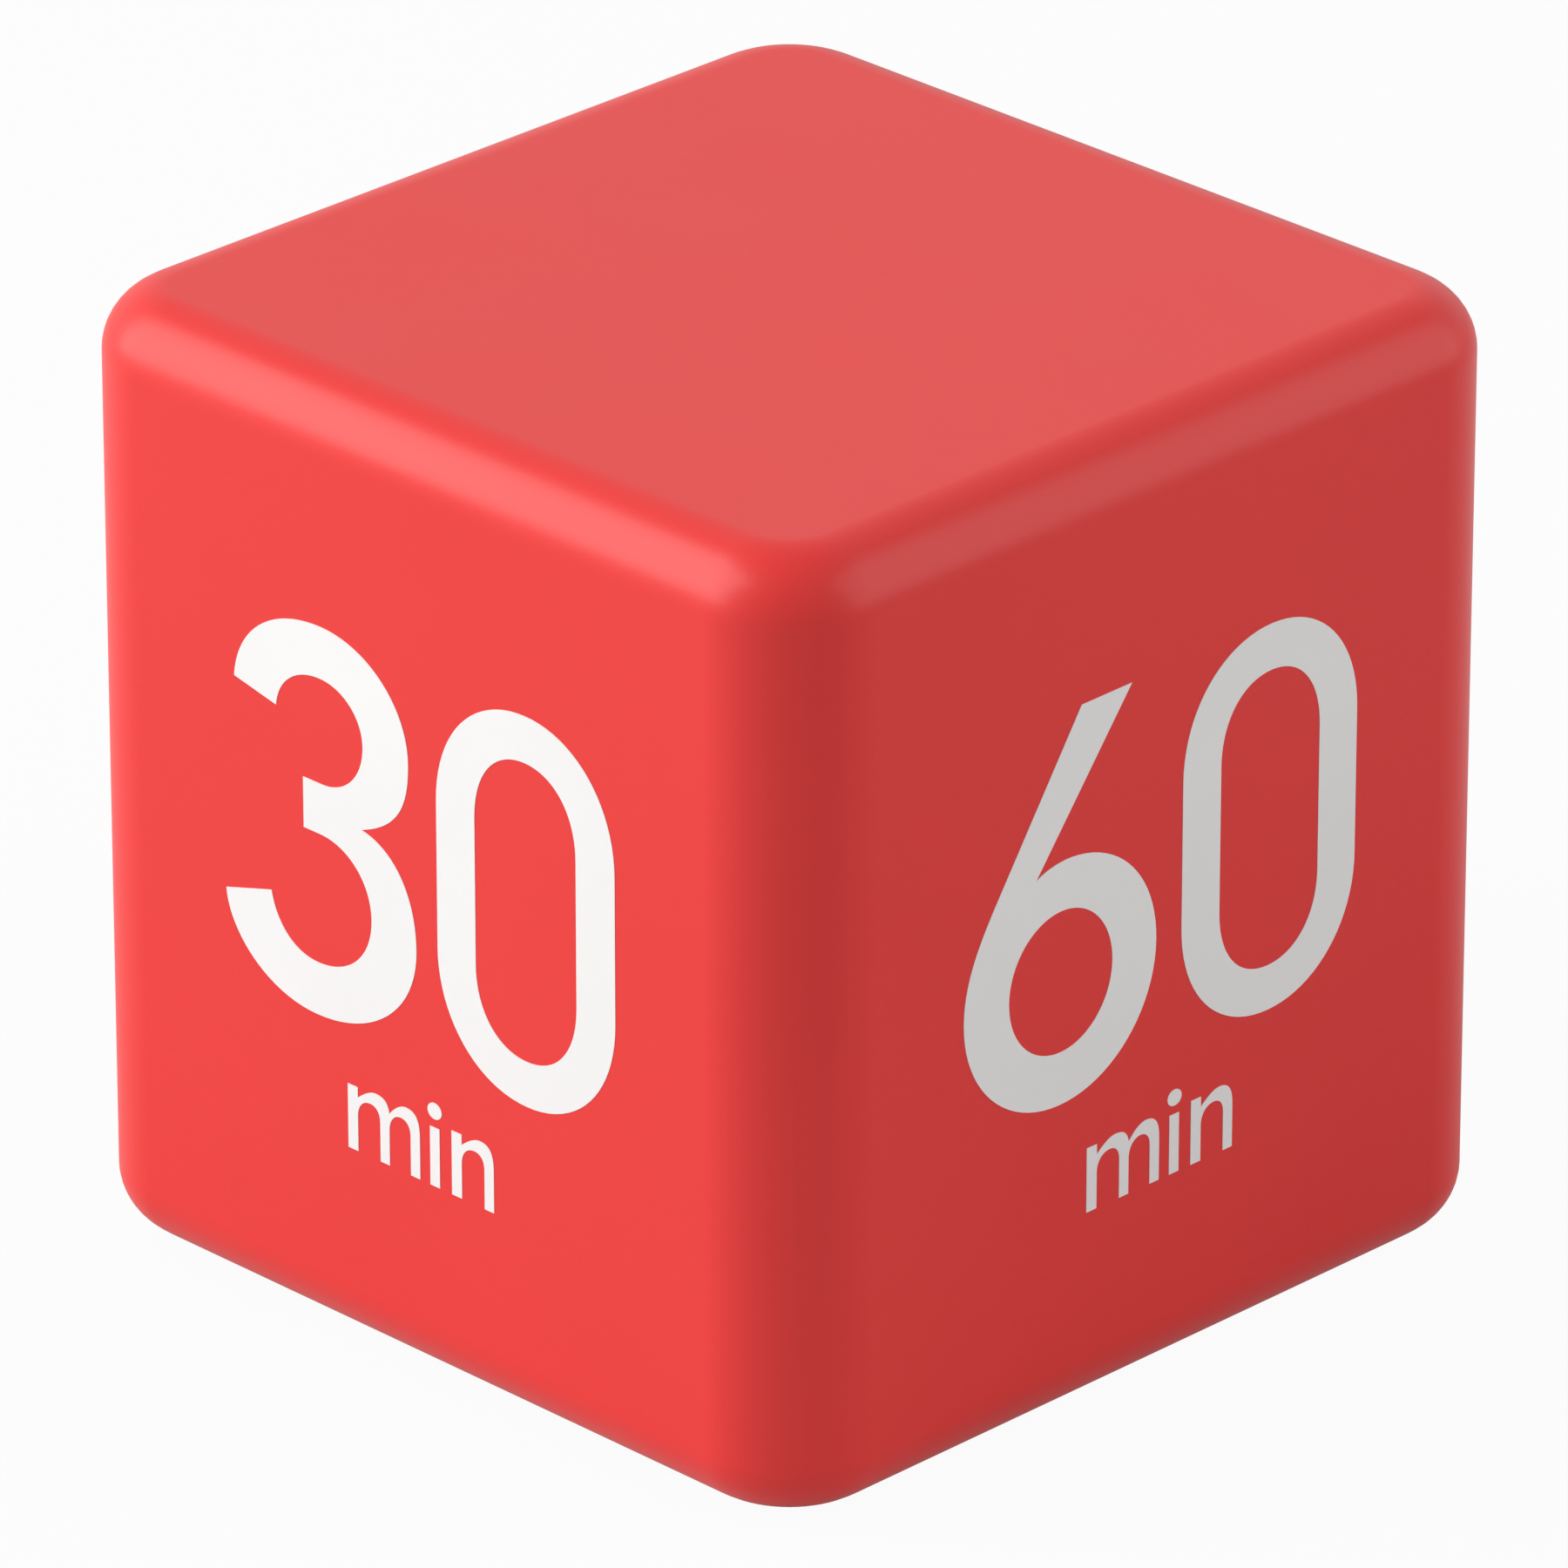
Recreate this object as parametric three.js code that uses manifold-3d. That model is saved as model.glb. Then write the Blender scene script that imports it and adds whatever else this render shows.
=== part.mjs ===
// Cube timer: a hollow cube with a preset time on each of its four upright faces. It stands on its
// end cover, which carries the display, the power switch and the battery door. Turning the cube
// onto one of its sides rolls two small balls against their contacts, which starts the countdown.
// Millimetres, +Z up, origin at the centre of the face that the cube stands on.

import * as THREE from 'three';
import { mergeVertices } from 'three/addons/utils/BufferGeometryUtils.js';
import Module from 'manifold-3d';

const wasm = await Module();
wasm.setup();

// Cube: moulded wall, upright corners, and the smaller rounding of the end faces. The side follows
// from the length of the cells, and the pieces beside them are shares of the side
const shellWall = 2.5;
const cornerRadius = 7.25;
const rimRadius = 4.2;

// Clearances shared by the pieces
const fitGap = 0.3;
const slimGap = 0.1;
const overrun = 1;

// End cover: the seam lies on the rounded rim, and a tongue inside the wall locates the cover
const seamHeight = 1.5;
const coverThickness = 2.5;
const tongueHeight = 3;
const tongueWall = 1.2;

// Case screws and the posts of the shell that take them
const screwShankRadius = 0.95;
const screwHeadRadius = 1.9;
const screwHeadHeight = 1.2;
const screwLength = 8;
const screwSink = 0.3;
const screwPointLength = 1.2;
const screwHeadGap = 0.3;
const crownShare = 0.72;
const crownRiseShare = 0.45;
const postRadius = 2.6;
const postInsetX = 5.3;
const postInsetY = 4.9;
const postHoleSpare = 1.5;
const gussetThickness = 1.2;
const gussetLift = 0.5;

// Two AAA cells, side by side, end for end
const cellLength = 44.5;
const cellRadiusShare = 0.11798;
const cellNubRadius = 1.9;
const cellNubHeight = 0.9;
const cellEdge = 0.4;
const cellDishDepth = 0.3;

// Battery bay of the end cover
const cellGap = 0.5;
const bayMargin = 0.25;
const bayWall = 1.2;
const bayEndRoom = 1.5;
const bayRoof = 1.5;
const bayPostGap = 0.4;
const bayRoofGap = 0.4;
const cellDoorGap = 0.5;
const spineThickness = 1.2;
const spineDrop = 3;

// Battery contacts: sheet steel plates and coil springs
const plateThickness = 0.4;
const plateWidth = 8;
const plateHeight = 7.4;
const tabWidth = 3.6;
const tabRise = 1.8;
const springLength = 4.5;
const springWire = 0.6;
const springBaseRadius = 3.1;
const springTipRadius = 2.1;
const springTurns = 3.5;
const guideThickness = 0.8;

// Battery door: a plate in a rebate, two hooked tabs at one end, a sprung latch at the other
const doorThickness = 1.5;
const doorSink = 0.25;
const doorMargin = 1;
const doorGap = 0.2;
const doorCorner = 1;
const doorTabWidth = 1.8;
const doorTabThickness = 0.8;
const doorTabLift = 0.2;
const doorTabReach = 0.8;
const doorTabRoot = 1;
const doorRibThickness = 1;
const doorRibHeight = 2;
const latchWidth = 8;
const latchSlit = 0.8;
const latchLength = 8;
const nibWidth = 6;
const nibReach = 0.5;
const nibHeight = 0.8;
const nailGrooveLength = 9;
const nailGrooveWidth = 2.4;
const nailGrooveDepth = 0.7;
const nailGrooveInset = 2.2;
const nailRoundShare = 0.9;

// Display: clear window in a pocket of the cover, glass cell behind it in a holder
const windowHalfXShare = 0.265625;
const windowHalfYShare = 0.140625;
const windowShiftShare = -0.05;
const windowThickness = 1.2;
const windowSink = 0.3;
const windowCorner = 1.5;
const windowLedge = 2;
const windowGap = 0.2;
const glassMargin = 0.5;
const glassThickness = 1.1;
const glassContactLedge = 2.8;
const holderWall = 0.9;
const holderBayGap = 1;
const holderBarWidth = 1.1;
const stripWidth = 2;
const stripEndMargin = 1.5;

// Circuit board over the holder
const boardLift = 5.1;
const boardThickness = 1.2;
const boardSideGap = 2.3;
const boardReachShare = 0.171875;
const boardPostRadius = 1.8;
const boardPostInset = 2;
const boardPostRowShares = [0.059375, 0.2234375];
const boardPostFloor = 1.1;
const boardScrewShank = 0.7;
const boardScrewHead = 1.6;
const boardScrewHeadHeight = 1;
const boardScrewLength = 4;
const boardScrewPoint = 0.8;
const pinClearance = 0.2;

// Sound holes beside the window
const soundHoleRadius = 0.7;
const soundHolePitchShare = 0.046875;
const soundHoleCount = 7;
const soundRowShare = 0.0421875;

// Slide switch on the board, and its knob in the end cover
const switchSpacingShare = 0.078125;
const switchTravel = 2;
const switchCanHalfX = 2.1;
const switchCanHalfY = 4.3;
const switchCanHeight = 3.6;
const switchCanWall = 0.3;
const switchBaseThickness = 0.8;
const switchPinRadius = 0.3;
const switchPinPitch = 2.5;
const switchPinRise = 0.6;
const sliderBlockHalfX = 1.4;
const sliderBlockHalfY = 2;
const sliderBlockHeight = 1.6;
const sliderStemHalfX = 0.7;
const sliderStemHalfY = 0.9;
const knobHalfX = 1.5;
const knobHalfY = 2.3;
const knobSink = 0.4;
const knobRidgeHeight = 0.25;
const knobRidgeWidth = 0.4;
const knobRidgePitch = 1.1;
const knobFlangeHalfX = 2.5;
const knobFlangeHalfY = 4.6;
const knobFlangeThickness = 0.8;
const knobSocketDepth = 2.1;
const dishHalfX = 2.9;
const dishHalfY = 5.4;
const dishDepth = 0.8;
const dishCorner = 1.2;

// Parts soldered on the board
const chipPlaceShares = [-0.140625, 0.0703125];
const chipRadiusShare = 0.0703125;
const chipHeight = 1.5;
const crystalPlaceShares = [-0.2734375, 0.11875];
const crystalRadius = 1;
const crystalLengthShare = 0.09375;
const buzzerXShare = 0.1484375;
const buzzerRadiusShare = 0.125;
const buzzerHeight = 6.5;
const buzzerWall = 0.8;
const buzzerHoleRadius = 1.5;
const buzzerLedge = 0.6;
const buzzerSeat = 3;
const buzzerBaseThickness = 1;
const buzzerPinShare = 0.4375;
const solderPinRadius = 0.35;
const solderPinDrop = 0.6;
const piezoPlate = 0.3;
const piezoCeramic = 0.2;
const piezoCeramicShare = 0.5625;

// Tilt switches: a ball rolls in a metal can between the end pins
const tiltCanLengthShare = 0.1640625;
const tiltCanRadius = 2.5;
const tiltBoreRadius = 1.85;
const tiltBallRadius = 1.5;
const tiltPlugDepth = 1.5;
const tiltPlugFlange = 0.5;
const tiltPinReach = 0.5;
const tiltPinOut = 1;
const tiltPinBend = 0.8;
const tiltAcrossYShare = -0.0859375;
const tiltAlongXShare = -0.296875;
const tiltAlongYShare = -0.0234375;
const tiltGap = 0.4;

// Battery leads
const leadRadius = 0.55;
const leadBend = 2.2;
const leadPadX = 4.2;
const leadPadSpacing = 2.2;
const leadPadInset = 1.6;

// Fineness of the curves
const cornerSteps = 6;
const rimSteps = 6;
const roundSides = 24;
const smallSides = 16;
const pinSides = 8;
const wireSides = 6;
const domeSteps = 4;
const pinSteps = 12;
const leadSteps = 24;
const coilStepsPerTurn = 10;

// The bay's plan, from the cells and their contacts
const cellRadius = cellLength * cellRadiusShare;
const cellSpacing = 2 * cellRadius + cellGap;
const plateX = (cellLength + springLength) / 2 + slimGap;
const bayHalfX = plateX + plateThickness + fitGap;
const bayHalfY = cellSpacing / 2 + cellRadius + bayMargin;
const bayOuterHalfX = bayHalfX + bayWall;
const bayOuterHalfY = bayHalfY + bayWall;
const doorHalfX = bayHalfX + doorMargin;
const doorHalfY = bayHalfY + doorMargin;

// The cube round the bay
const cubeHalf = bayOuterHalfX + bayEndRoom + tongueWall + fitGap + shellWall;
const cubeSide = 2 * cubeHalf;
const cornerSigns = [[-1, -1], [1, -1], [1, 1], [-1, 1]];
const cavityHalf = cubeHalf - shellWall;
const cavityCorner = cornerRadius - shellWall;
const cavityRim = rimRadius - shellWall;
const tongueHalf = cavityHalf - fitGap;
const tongueCorner = cavityCorner - fitGap;
const tongueTop = coverThickness + tongueHeight;
const postX = cavityHalf - postInsetX;
const postY = cavityHalf - postInsetY;

// The bay's place and levels
const bayY = -postY + postRadius + bayPostGap + bayOuterHalfY;
const bayTopY = bayY + bayOuterHalfY;
const doorSeat = doorSink + doorThickness;
const cellZ = doorSeat + cellDoorGap + cellRadius;
const bayCeiling = cellZ + cellRadius + bayRoofGap;
const bayRoofTop = bayCeiling + bayRoof;

// The display end of the cover
const windowHalfX = cubeSide * windowHalfXShare;
const windowHalfY = cubeSide * windowHalfYShare;
const windowShift = cubeSide * windowShiftShare;
const glassHalfX = windowHalfX - glassMargin;
const glassHalfY = windowHalfY;
const holderHalfX = glassHalfX + fitGap + holderWall;
const holderHalfY = glassHalfY + fitGap + holderWall;
const displayY = bayTopY + holderBayGap + holderHalfY;
const soundHolePitch = cubeSide * soundHolePitchShare;
const soundRowY = displayY + windowHalfY + cubeSide * soundRowShare;
const switchX = windowShift + windowHalfX + cubeSide * switchSpacingShare;

// The circuit board and what is soldered on it
const boardZ = coverThickness + boardLift;
const boardTop = boardZ + boardThickness;
const boardHalfX = cavityHalf - boardSideGap;
const boardLowY = bayTopY + bayPostGap;
const boardHighY = displayY + cubeSide * boardReachShare;
const boardPostX = boardHalfX - boardPostInset;
const boardPostRows = boardPostRowShares.map((share) => boardLowY + cubeSide * share);
const chipX = cubeSide * chipPlaceShares[0];
const chipY = cubeSide * chipPlaceShares[1];
const chipRadius = cubeSide * chipRadiusShare;
const crystalX = cubeSide * crystalPlaceShares[0];
const crystalY = cubeSide * crystalPlaceShares[1];
const crystalLength = cubeSide * crystalLengthShare;
const buzzerX = cubeSide * buzzerXShare;
const buzzerRadius = cubeSide * buzzerRadiusShare;
const buzzerPinSpread = buzzerRadius * buzzerPinShare;
const piezoCeramicRadius = buzzerRadius * piezoCeramicShare;
const tiltCanLength = cubeSide * tiltCanLengthShare;
const tiltReach = tiltCanLength / 2 + tiltPlugFlange + tiltPinOut;
const tiltAlongX = cubeSide * tiltAlongXShare;
const tiltAlongY = cubeSide * tiltAlongYShare;
const tiltAcrossX = tiltAlongX + tiltCanRadius + tiltGap + solderPinRadius + tiltReach;
const tiltAcrossY = cubeSide * tiltAcrossYShare;
const tiltZ = boardTop + fitGap + tiltCanRadius;

// Materials
function plastic(colour, roughness) {
  return new THREE.MeshStandardMaterial({ color: colour, roughness, metalness: 0 });
}

function metal(colour, roughness) {
  return new THREE.MeshStandardMaterial({ color: colour, roughness, metalness: 1 });
}

const redPlastic = plastic(0xe63e3b, 0.42);
const greyPlastic = plastic(0xd9d9d6, 0.5);
const blackPlastic = plastic(0x1d1d1f, 0.5);
const clearPlastic = plastic(0xe8eef0, 0.08);
clearPlastic.transparent = true;
clearPlastic.opacity = 0.35;
const displayGlass = plastic(0x9aa392, 0.15);
const stripRubber = plastic(0x3a3a3c, 0.8);
const boardLaminate = plastic(0x2f6b3a, 0.45);
const cellJacket = plastic(0x2c2f36, 0.35);
const leadRed = plastic(0xb3201f, 0.55);
const leadBlack = plastic(0x1b1b1d, 0.55);
const steel = metal(0xb9bcc0, 0.3);
const nickel = metal(0xc9c6bd, 0.28);
const brass = metal(0xc9a24e, 0.35);

// A closed geometry as a solid: shared points are merged, and the faces point outwards
function solidOf(geometry) {
  const bare = new THREE.BufferGeometry();
  bare.setAttribute('position', geometry.getAttribute('position'));
  bare.setIndex(geometry.getIndex());
  const welded = mergeVertices(bare);
  const points = welded.getAttribute('position');
  const index = welded.getIndex().array;
  const triangles = [];
  const corner = [new THREE.Vector3(), new THREE.Vector3(), new THREE.Vector3()];
  let volume = 0;
  for (let i = 0; i < index.length; i += 3) {
    const [a, b, c] = [index[i], index[i + 1], index[i + 2]];
    if (a === b || b === c || c === a) continue;
    corner[0].fromBufferAttribute(points, a);
    corner[1].fromBufferAttribute(points, b);
    corner[2].fromBufferAttribute(points, c);
    volume += corner[0].dot(corner[1].clone().cross(corner[2]));
    triangles.push([a, b, c]);
  }
  const outward = volume > 0 ? triangles : triangles.map(([a, b, c]) => [a, c, b]);
  const mesh = new wasm.Mesh({
    numProp: 3,
    vertProperties: new Float32Array(points.array),
    triVerts: new Uint32Array(outward.flat()),
  });
  return new wasm.Manifold(mesh);
}

// A named piece of one solid, placed in its group
function piece(name, solid, material, place = [0, 0, 0]) {
  const { vertProperties, triVerts } = solid.getMesh();
  const geometry = new THREE.BufferGeometry();
  geometry.setAttribute('position', new THREE.BufferAttribute(new Float32Array(vertProperties), 3));
  geometry.setIndex(new THREE.BufferAttribute(new Uint32Array(triVerts), 1));
  const mesh = new THREE.Mesh(geometry, material);
  geometry.computeVertexNormals();
  mesh.name = name;
  mesh.position.set(...place);
  return mesh;
}

function joined(solids) {
  return solids.reduce((whole, solid) => whole.add(solid));
}

function without(solid, cuts) {
  return cuts.reduce((rest, cut) => rest.subtract(cut), solid);
}

// A rectangular block about a centre, from half widths and two levels
function block(x, y, halfX, halfY, low, high) {
  const geometry = new THREE.BoxGeometry(2 * halfX, 2 * halfY, high - low);
  return solidOf(geometry.translate(x, y, (low + high) / 2));
}

// An upright round bar, or a hole for one
function bar(x, y, radius, low, high, sides = smallSides) {
  const geometry = new THREE.CylinderGeometry(radius, radius, high - low, sides).rotateX(Math.PI / 2);
  return solidOf(geometry.translate(x, y, (low + high) / 2));
}

function roundedOutline(halfX, halfY, radius) {
  const outline = new THREE.Shape();
  const [x, y] = [halfX - radius, halfY - radius];
  const quarter = Math.PI / 2;
  outline.moveTo(-x, -halfY);
  outline.lineTo(x, -halfY);
  outline.absarc(x, -y, radius, -quarter, 0);
  outline.lineTo(halfX, y);
  outline.absarc(x, y, radius, 0, quarter);
  outline.lineTo(-x, halfY);
  outline.absarc(-x, y, radius, quarter, 2 * quarter);
  outline.lineTo(-halfX, -y);
  outline.absarc(-x, -y, radius, 2 * quarter, 3 * quarter);
  return outline;
}

// A slab with rounded upright corners
function slab(x, y, halfX, halfY, radius, low, high, steps = cornerSteps) {
  const outline = roundedOutline(halfX, halfY, radius);
  const settings = { depth: high - low, bevelEnabled: false, curveSegments: steps };
  return solidOf(new THREE.ExtrudeGeometry(outline, settings).translate(x, y, low));
}

// A square block whose upright corners and end rims are both rounded
function roundedBlock(half, corner, rim, low, high) {
  const settings = {
    depth: high - low - 2 * rim,
    curveSegments: cornerSteps,
    bevelThickness: rim,
    bevelSize: rim,
    bevelOffset: -rim,
    bevelSegments: rimSteps,
  };
  const geometry = new THREE.ExtrudeGeometry(roundedOutline(half, half, corner), settings);
  return solidOf(geometry.translate(0, 0, low + rim));
}

// A turned piece about the upright axis, from points of radius and height
function turned(profile, sides = roundSides) {
  const points = profile.map(([radius, height]) => new THREE.Vector2(radius, height));
  return solidOf(new THREE.LatheGeometry(points, sides).rotateX(Math.PI / 2));
}

// A round rod or wire along a curve
function rodAlong(curve, radius, steps, sides = pinSides) {
  const section = new THREE.Shape();
  section.absarc(0, 0, radius, 0, 2 * Math.PI);
  const settings = { extrudePath: curve, steps, curveSegments: sides / 2, bevelEnabled: false };
  return solidOf(new THREE.ExtrudeGeometry(section, settings));
}

// Case shell: a five-sided cube moulding with four screw posts down its corners
function bodyShell() {
  const outside = roundedBlock(cubeHalf, cornerRadius, rimRadius, 0, cubeSide);
  const ceiling = cubeSide - shellWall;
  const cavity = roundedBlock(cavityHalf, cavityCorner, cavityRim, -cubeHalf, ceiling);
  const belowSeam = block(0, 0, cubeSide, cubeSide, -cubeSide, seamHeight);
  const box = without(outside, [cavity, belowSeam]);
  const gussetFoot = tongueTop + gussetLift;
  const gussetTop = ceiling + shellWall / 2;
  const posts = [];
  const holes = [];
  for (const [sx, sy] of cornerSigns) {
    const [x, y] = [sx * postX, sy * postY];
    posts.push(bar(x, y, postRadius, coverThickness, gussetTop));
    const halfX = (postInsetX + shellWall / 2) / 2;
    const halfY = (postInsetY + shellWall / 2) / 2;
    posts.push(block(x + sx * halfX, y, halfX, gussetThickness / 2, gussetFoot, gussetTop));
    posts.push(block(x, y + sy * halfY, gussetThickness / 2, halfY, gussetFoot, gussetTop));
    const holeTop = screwSink + screwHeadHeight + screwLength + postHoleSpare;
    holes.push(bar(x, y, screwShankRadius + slimGap, 0, holeTop, pinSides));
  }
  return piece('body_shell', without(joined([box, ...posts]), holes), redPlastic);
}

// End cover: plate with rounded rim, tongue, battery bay, display pocket, posts and openings
function endCover() {
  const outside = roundedBlock(cubeHalf, cornerRadius, rimRadius, 0, cubeSide);
  const aboveSeam = block(0, 0, cubeSide, cubeSide, seamHeight, 2 * cubeSide);
  const rim = without(outside, [aboveSeam]);
  const plate = slab(0, 0, tongueHalf, tongueHalf, tongueCorner, seamHeight / 2, coverThickness);
  const tongue = slab(0, 0, tongueHalf, tongueHalf, tongueCorner, seamHeight, tongueTop);
  const insideHalf = tongueHalf - tongueWall;
  const insideCorner = tongueCorner - tongueWall;
  const inside = slab(0, 0, insideHalf, insideHalf, insideCorner, coverThickness, tongueTop + overrun);
  const bay = block(0, bayY, bayOuterHalfX, bayOuterHalfY, seamHeight, bayRoofTop);
  const body = joined([rim, plate, without(tongue, [inside]), bay, ...boardPosts()]);
  const ribbed = joined([without(body, bayCuts()), ...bayRibs()]);
  return piece('end_cover', without(ribbed, endCuts()), redPlastic);
}

function boardPosts() {
  return boardPostPlaces().map(([x, y]) => bar(x, y, boardPostRadius, seamHeight, boardZ));
}

function boardPostPlaces() {
  const places = [];
  for (const side of [-1, 1]) {
    for (const y of boardPostRows) places.push([side * boardPostX, y]);
  }
  return places;
}

// The bay's hollow, the rebate for its door, and the slots for contacts, tabs and latch
function bayCuts() {
  const rebateHalfX = doorHalfX + doorGap;
  const rebateHalfY = doorHalfY + doorGap;
  const cuts = [
    block(0, bayY, bayHalfX, bayHalfY, -overrun, bayCeiling),
    slab(0, bayY, rebateHalfX, rebateHalfY, doorCorner + doorGap, -overrun, doorSeat),
  ];
  for (const side of [-1, 1]) {
    const y = bayY + side * cellSpacing / 2;
    const x = -plateX - plateThickness / 2;
    const slotHalfX = plateThickness / 2 + slimGap;
    const slotHalfY = tabWidth / 2 + fitGap;
    cuts.push(block(x, y, slotHalfX, slotHalfY, bayCeiling - slimGap, bayRoofTop + overrun));
    const windowX = -bayHalfX - bayWall / 2;
    const windowHalf = bayWall / 2 + slimGap;
    const windowTop = coverThickness + doorTabLift + doorTabThickness + fitGap;
    const windowHalfWidth = doorTabWidth / 2 + fitGap;
    cuts.push(block(windowX, doorTabY(side), windowHalf, windowHalfWidth, coverThickness, windowTop));
  }
  const pocketHalf = (nibReach + fitGap) / 2;
  const nibTop = doorSeat + slimGap;
  const pocketX = rebateHalfX + pocketHalf - doorGap;
  cuts.push(block(pocketX, bayY, pocketHalf, nibWidth / 2 + fitGap, doorSeat - nibHeight - slimGap, nibTop));
  return cuts;
}

// Ribs inside the bay: a spine between the cells, and lips that hold the contact plates
function bayRibs() {
  const ribs = [];
  const spineTop = bayCeiling + bayRoof / 2;
  const spineHalf = cellLength / 2 - springLength;
  ribs.push(block(0, bayY, spineHalf, spineThickness / 2, bayCeiling - spineDrop, spineTop));
  const lipHalfX = (fitGap + plateThickness + fitGap) / 2;
  const lipDeepX = bayHalfX - lipHalfX;
  const [lipLow, lipHigh] = [bayCeiling - plateHeight, bayCeiling + bayRoof / 2];
  for (const cell of [-1, 1]) {
    for (const edge of [-1, 1]) {
      const reach = plateWidth / 2 + slimGap + guideThickness / 2;
      const y = bayY + cell * cellSpacing / 2 + edge * reach;
      ribs.push(block(-lipDeepX - slimGap, y, lipHalfX, guideThickness / 2, lipLow, lipHigh));
    }
  }
  return ribs;
}

// Openings of the end face: window pocket, sound holes, switch slot, screw holes
function endCuts() {
  const cuts = [];
  const pocketX = windowHalfX + windowGap;
  const pocketY = windowHalfY + windowGap;
  const pocketFloor = windowSink + windowThickness;
  cuts.push(slab(windowShift, displayY, pocketX, pocketY, windowCorner + windowGap, -overrun, pocketFloor));
  const [viewX, viewY] = [windowHalfX - windowLedge, windowHalfY - windowLedge];
  cuts.push(block(windowShift, displayY, viewX, viewY, -overrun, coverThickness + overrun));
  for (let i = 0; i < soundHoleCount; i += 1) {
    const x = windowShift + (i - (soundHoleCount - 1) / 2) * soundHolePitch;
    cuts.push(bar(x, soundRowY, soundHoleRadius, -overrun, coverThickness + overrun, pinSides));
  }
  cuts.push(slab(switchX, displayY, dishHalfX, dishHalfY, dishCorner, -overrun, dishDepth, 2));
  const slotHalfY = knobHalfY + switchTravel / 2 + doorGap;
  cuts.push(block(switchX, displayY, knobHalfX + doorGap, slotHalfY, -overrun, coverThickness + overrun));
  for (const [sx, sy] of cornerSigns) {
    const [x, y] = [sx * postX, sy * postY];
    cuts.push(bar(x, y, screwHeadRadius + screwHeadGap, -overrun, screwSink + screwHeadHeight, roundSides));
    cuts.push(bar(x, y, screwShankRadius + fitGap, -overrun, coverThickness + overrun, pinSides));
  }
  for (const [x, y] of boardPostPlaces()) {
    const floor = coverThickness + boardPostFloor;
    cuts.push(bar(x, y, boardScrewShank + slimGap, floor, boardZ + overrun, pinSides));
  }
  return cuts;
}

// The door's tabs stand at the sides of the bay, beside the round of the cells
function doorTabY(side) {
  return bayY + side * (bayHalfY - doorTabWidth / 2 - fitGap);
}

// Battery door: plate, stiffening rib, two hooked tabs, a slit tongue with its nib, and a nail groove
function batteryDoor() {
  const plate = slab(0, bayY, doorHalfX, doorHalfY, doorCorner, doorSink, doorSeat);
  const root = doorSeat - doorThickness / 2;
  const hookLow = coverThickness + doorTabLift;
  const hookHigh = hookLow + doorTabThickness;
  const added = [];
  for (const side of [-1, 1]) {
    const y = doorTabY(side);
    const legX = -bayHalfX + fitGap + doorTabRoot / 2;
    added.push(block(legX, y, doorTabRoot / 2, doorTabWidth / 2, root, hookHigh));
    const hookHalf = (doorTabReach + fitGap + doorTabRoot) / 2;
    const hookX = -bayHalfX - doorTabReach + hookHalf;
    added.push(block(hookX, y, hookHalf, doorTabWidth / 2, hookLow, hookHigh));
  }
  const ribHalf = bayHalfX - latchLength - doorMargin - fitGap;
  added.push(block(-latchLength / 2, bayY, ribHalf, doorRibThickness / 2, root, doorSeat + doorRibHeight));
  const nibX = doorHalfX + nibReach / 2;
  added.push(block(nibX - nibReach / 2, bayY, nibReach, nibWidth / 2, doorSeat - nibHeight, doorSeat));
  const cuts = [];
  for (const side of [-1, 1]) {
    const y = bayY + side * (latchWidth + latchSlit) / 2;
    const x = doorHalfX - latchLength / 2 + overrun / 2;
    cuts.push(block(x, y, (latchLength + overrun) / 2, latchSlit / 2, -overrun, doorSeat + overrun));
  }
  const grooveX = doorHalfX - nailGrooveInset - nailGrooveWidth / 2;
  const grooveTop = doorSink + nailGrooveDepth;
  const grooveHalf = nailGrooveWidth / 2;
  const grooveY = Math.min(nailGrooveLength, latchWidth - latchSlit) / 2;
  cuts.push(slab(grooveX, bayY, grooveHalf, grooveY, grooveHalf * nailRoundShare, -overrun, grooveTop, 2));
  return piece('battery_door', without(joined([plate, ...added]), cuts), redPlastic);
}

// One AAA cell along +X, positive nub first
function cell(name, x, y, direction) {
  const shoulder = cellLength - cellNubHeight;
  const dish = cellRadius - cellEdge;
  const profile = [
    [0, cellDishDepth],
    [dish - cellEdge, cellDishDepth],
    [dish, 0],
    [cellRadius, cellEdge],
    [cellRadius, shoulder - cellEdge],
    [dish, shoulder],
    [cellNubRadius, shoulder],
    [cellNubRadius, cellLength],
    [0, cellLength],
  ];
  const mesh = piece(name, turned(profile), cellJacket, [x, y, cellZ]);
  mesh.rotation.y = direction * Math.PI / 2;
  return mesh;
}

// Flat contact plate of the bay's end, with a dimple towards a nub and a solder tab through the roof
function terminalPlate(name, y) {
  const high = bayCeiling - slimGap;
  const low = high - plateHeight + slimGap;
  const x = -plateX - plateThickness / 2;
  const plate = block(x, y, plateThickness / 2, plateWidth / 2, low, high);
  const tab = block(x, y, plateThickness / 2, tabWidth / 2, high - overrun, bayRoofTop + tabRise);
  return piece(name, plate.add(tab), nickel);
}

// One plate joins both cells at the other end
function bridgePlate() {
  const high = bayCeiling - slimGap;
  const low = high - plateHeight + slimGap;
  const halfY = (cellSpacing + plateWidth) / 2;
  const x = plateX + plateThickness / 2;
  return piece('bridge_contact', block(x, bayY, plateThickness / 2, halfY, low, high), nickel);
}

// A tapered coil spring that starts at its plate
class TaperedCoil extends THREE.Curve {
  constructor(towards) {
    super();
    this.towards = towards;
  }

  getPoint(share, target = new THREE.Vector3()) {
    const angle = 2 * Math.PI * springTurns * share;
    const radius = THREE.MathUtils.lerp(springBaseRadius, springTipRadius, share);
    const length = springLength - springWire;
    const along = springWire / 2 + share * length;
    return target.set(this.towards * along, radius * Math.cos(angle), radius * Math.sin(angle));
  }
}

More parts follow.
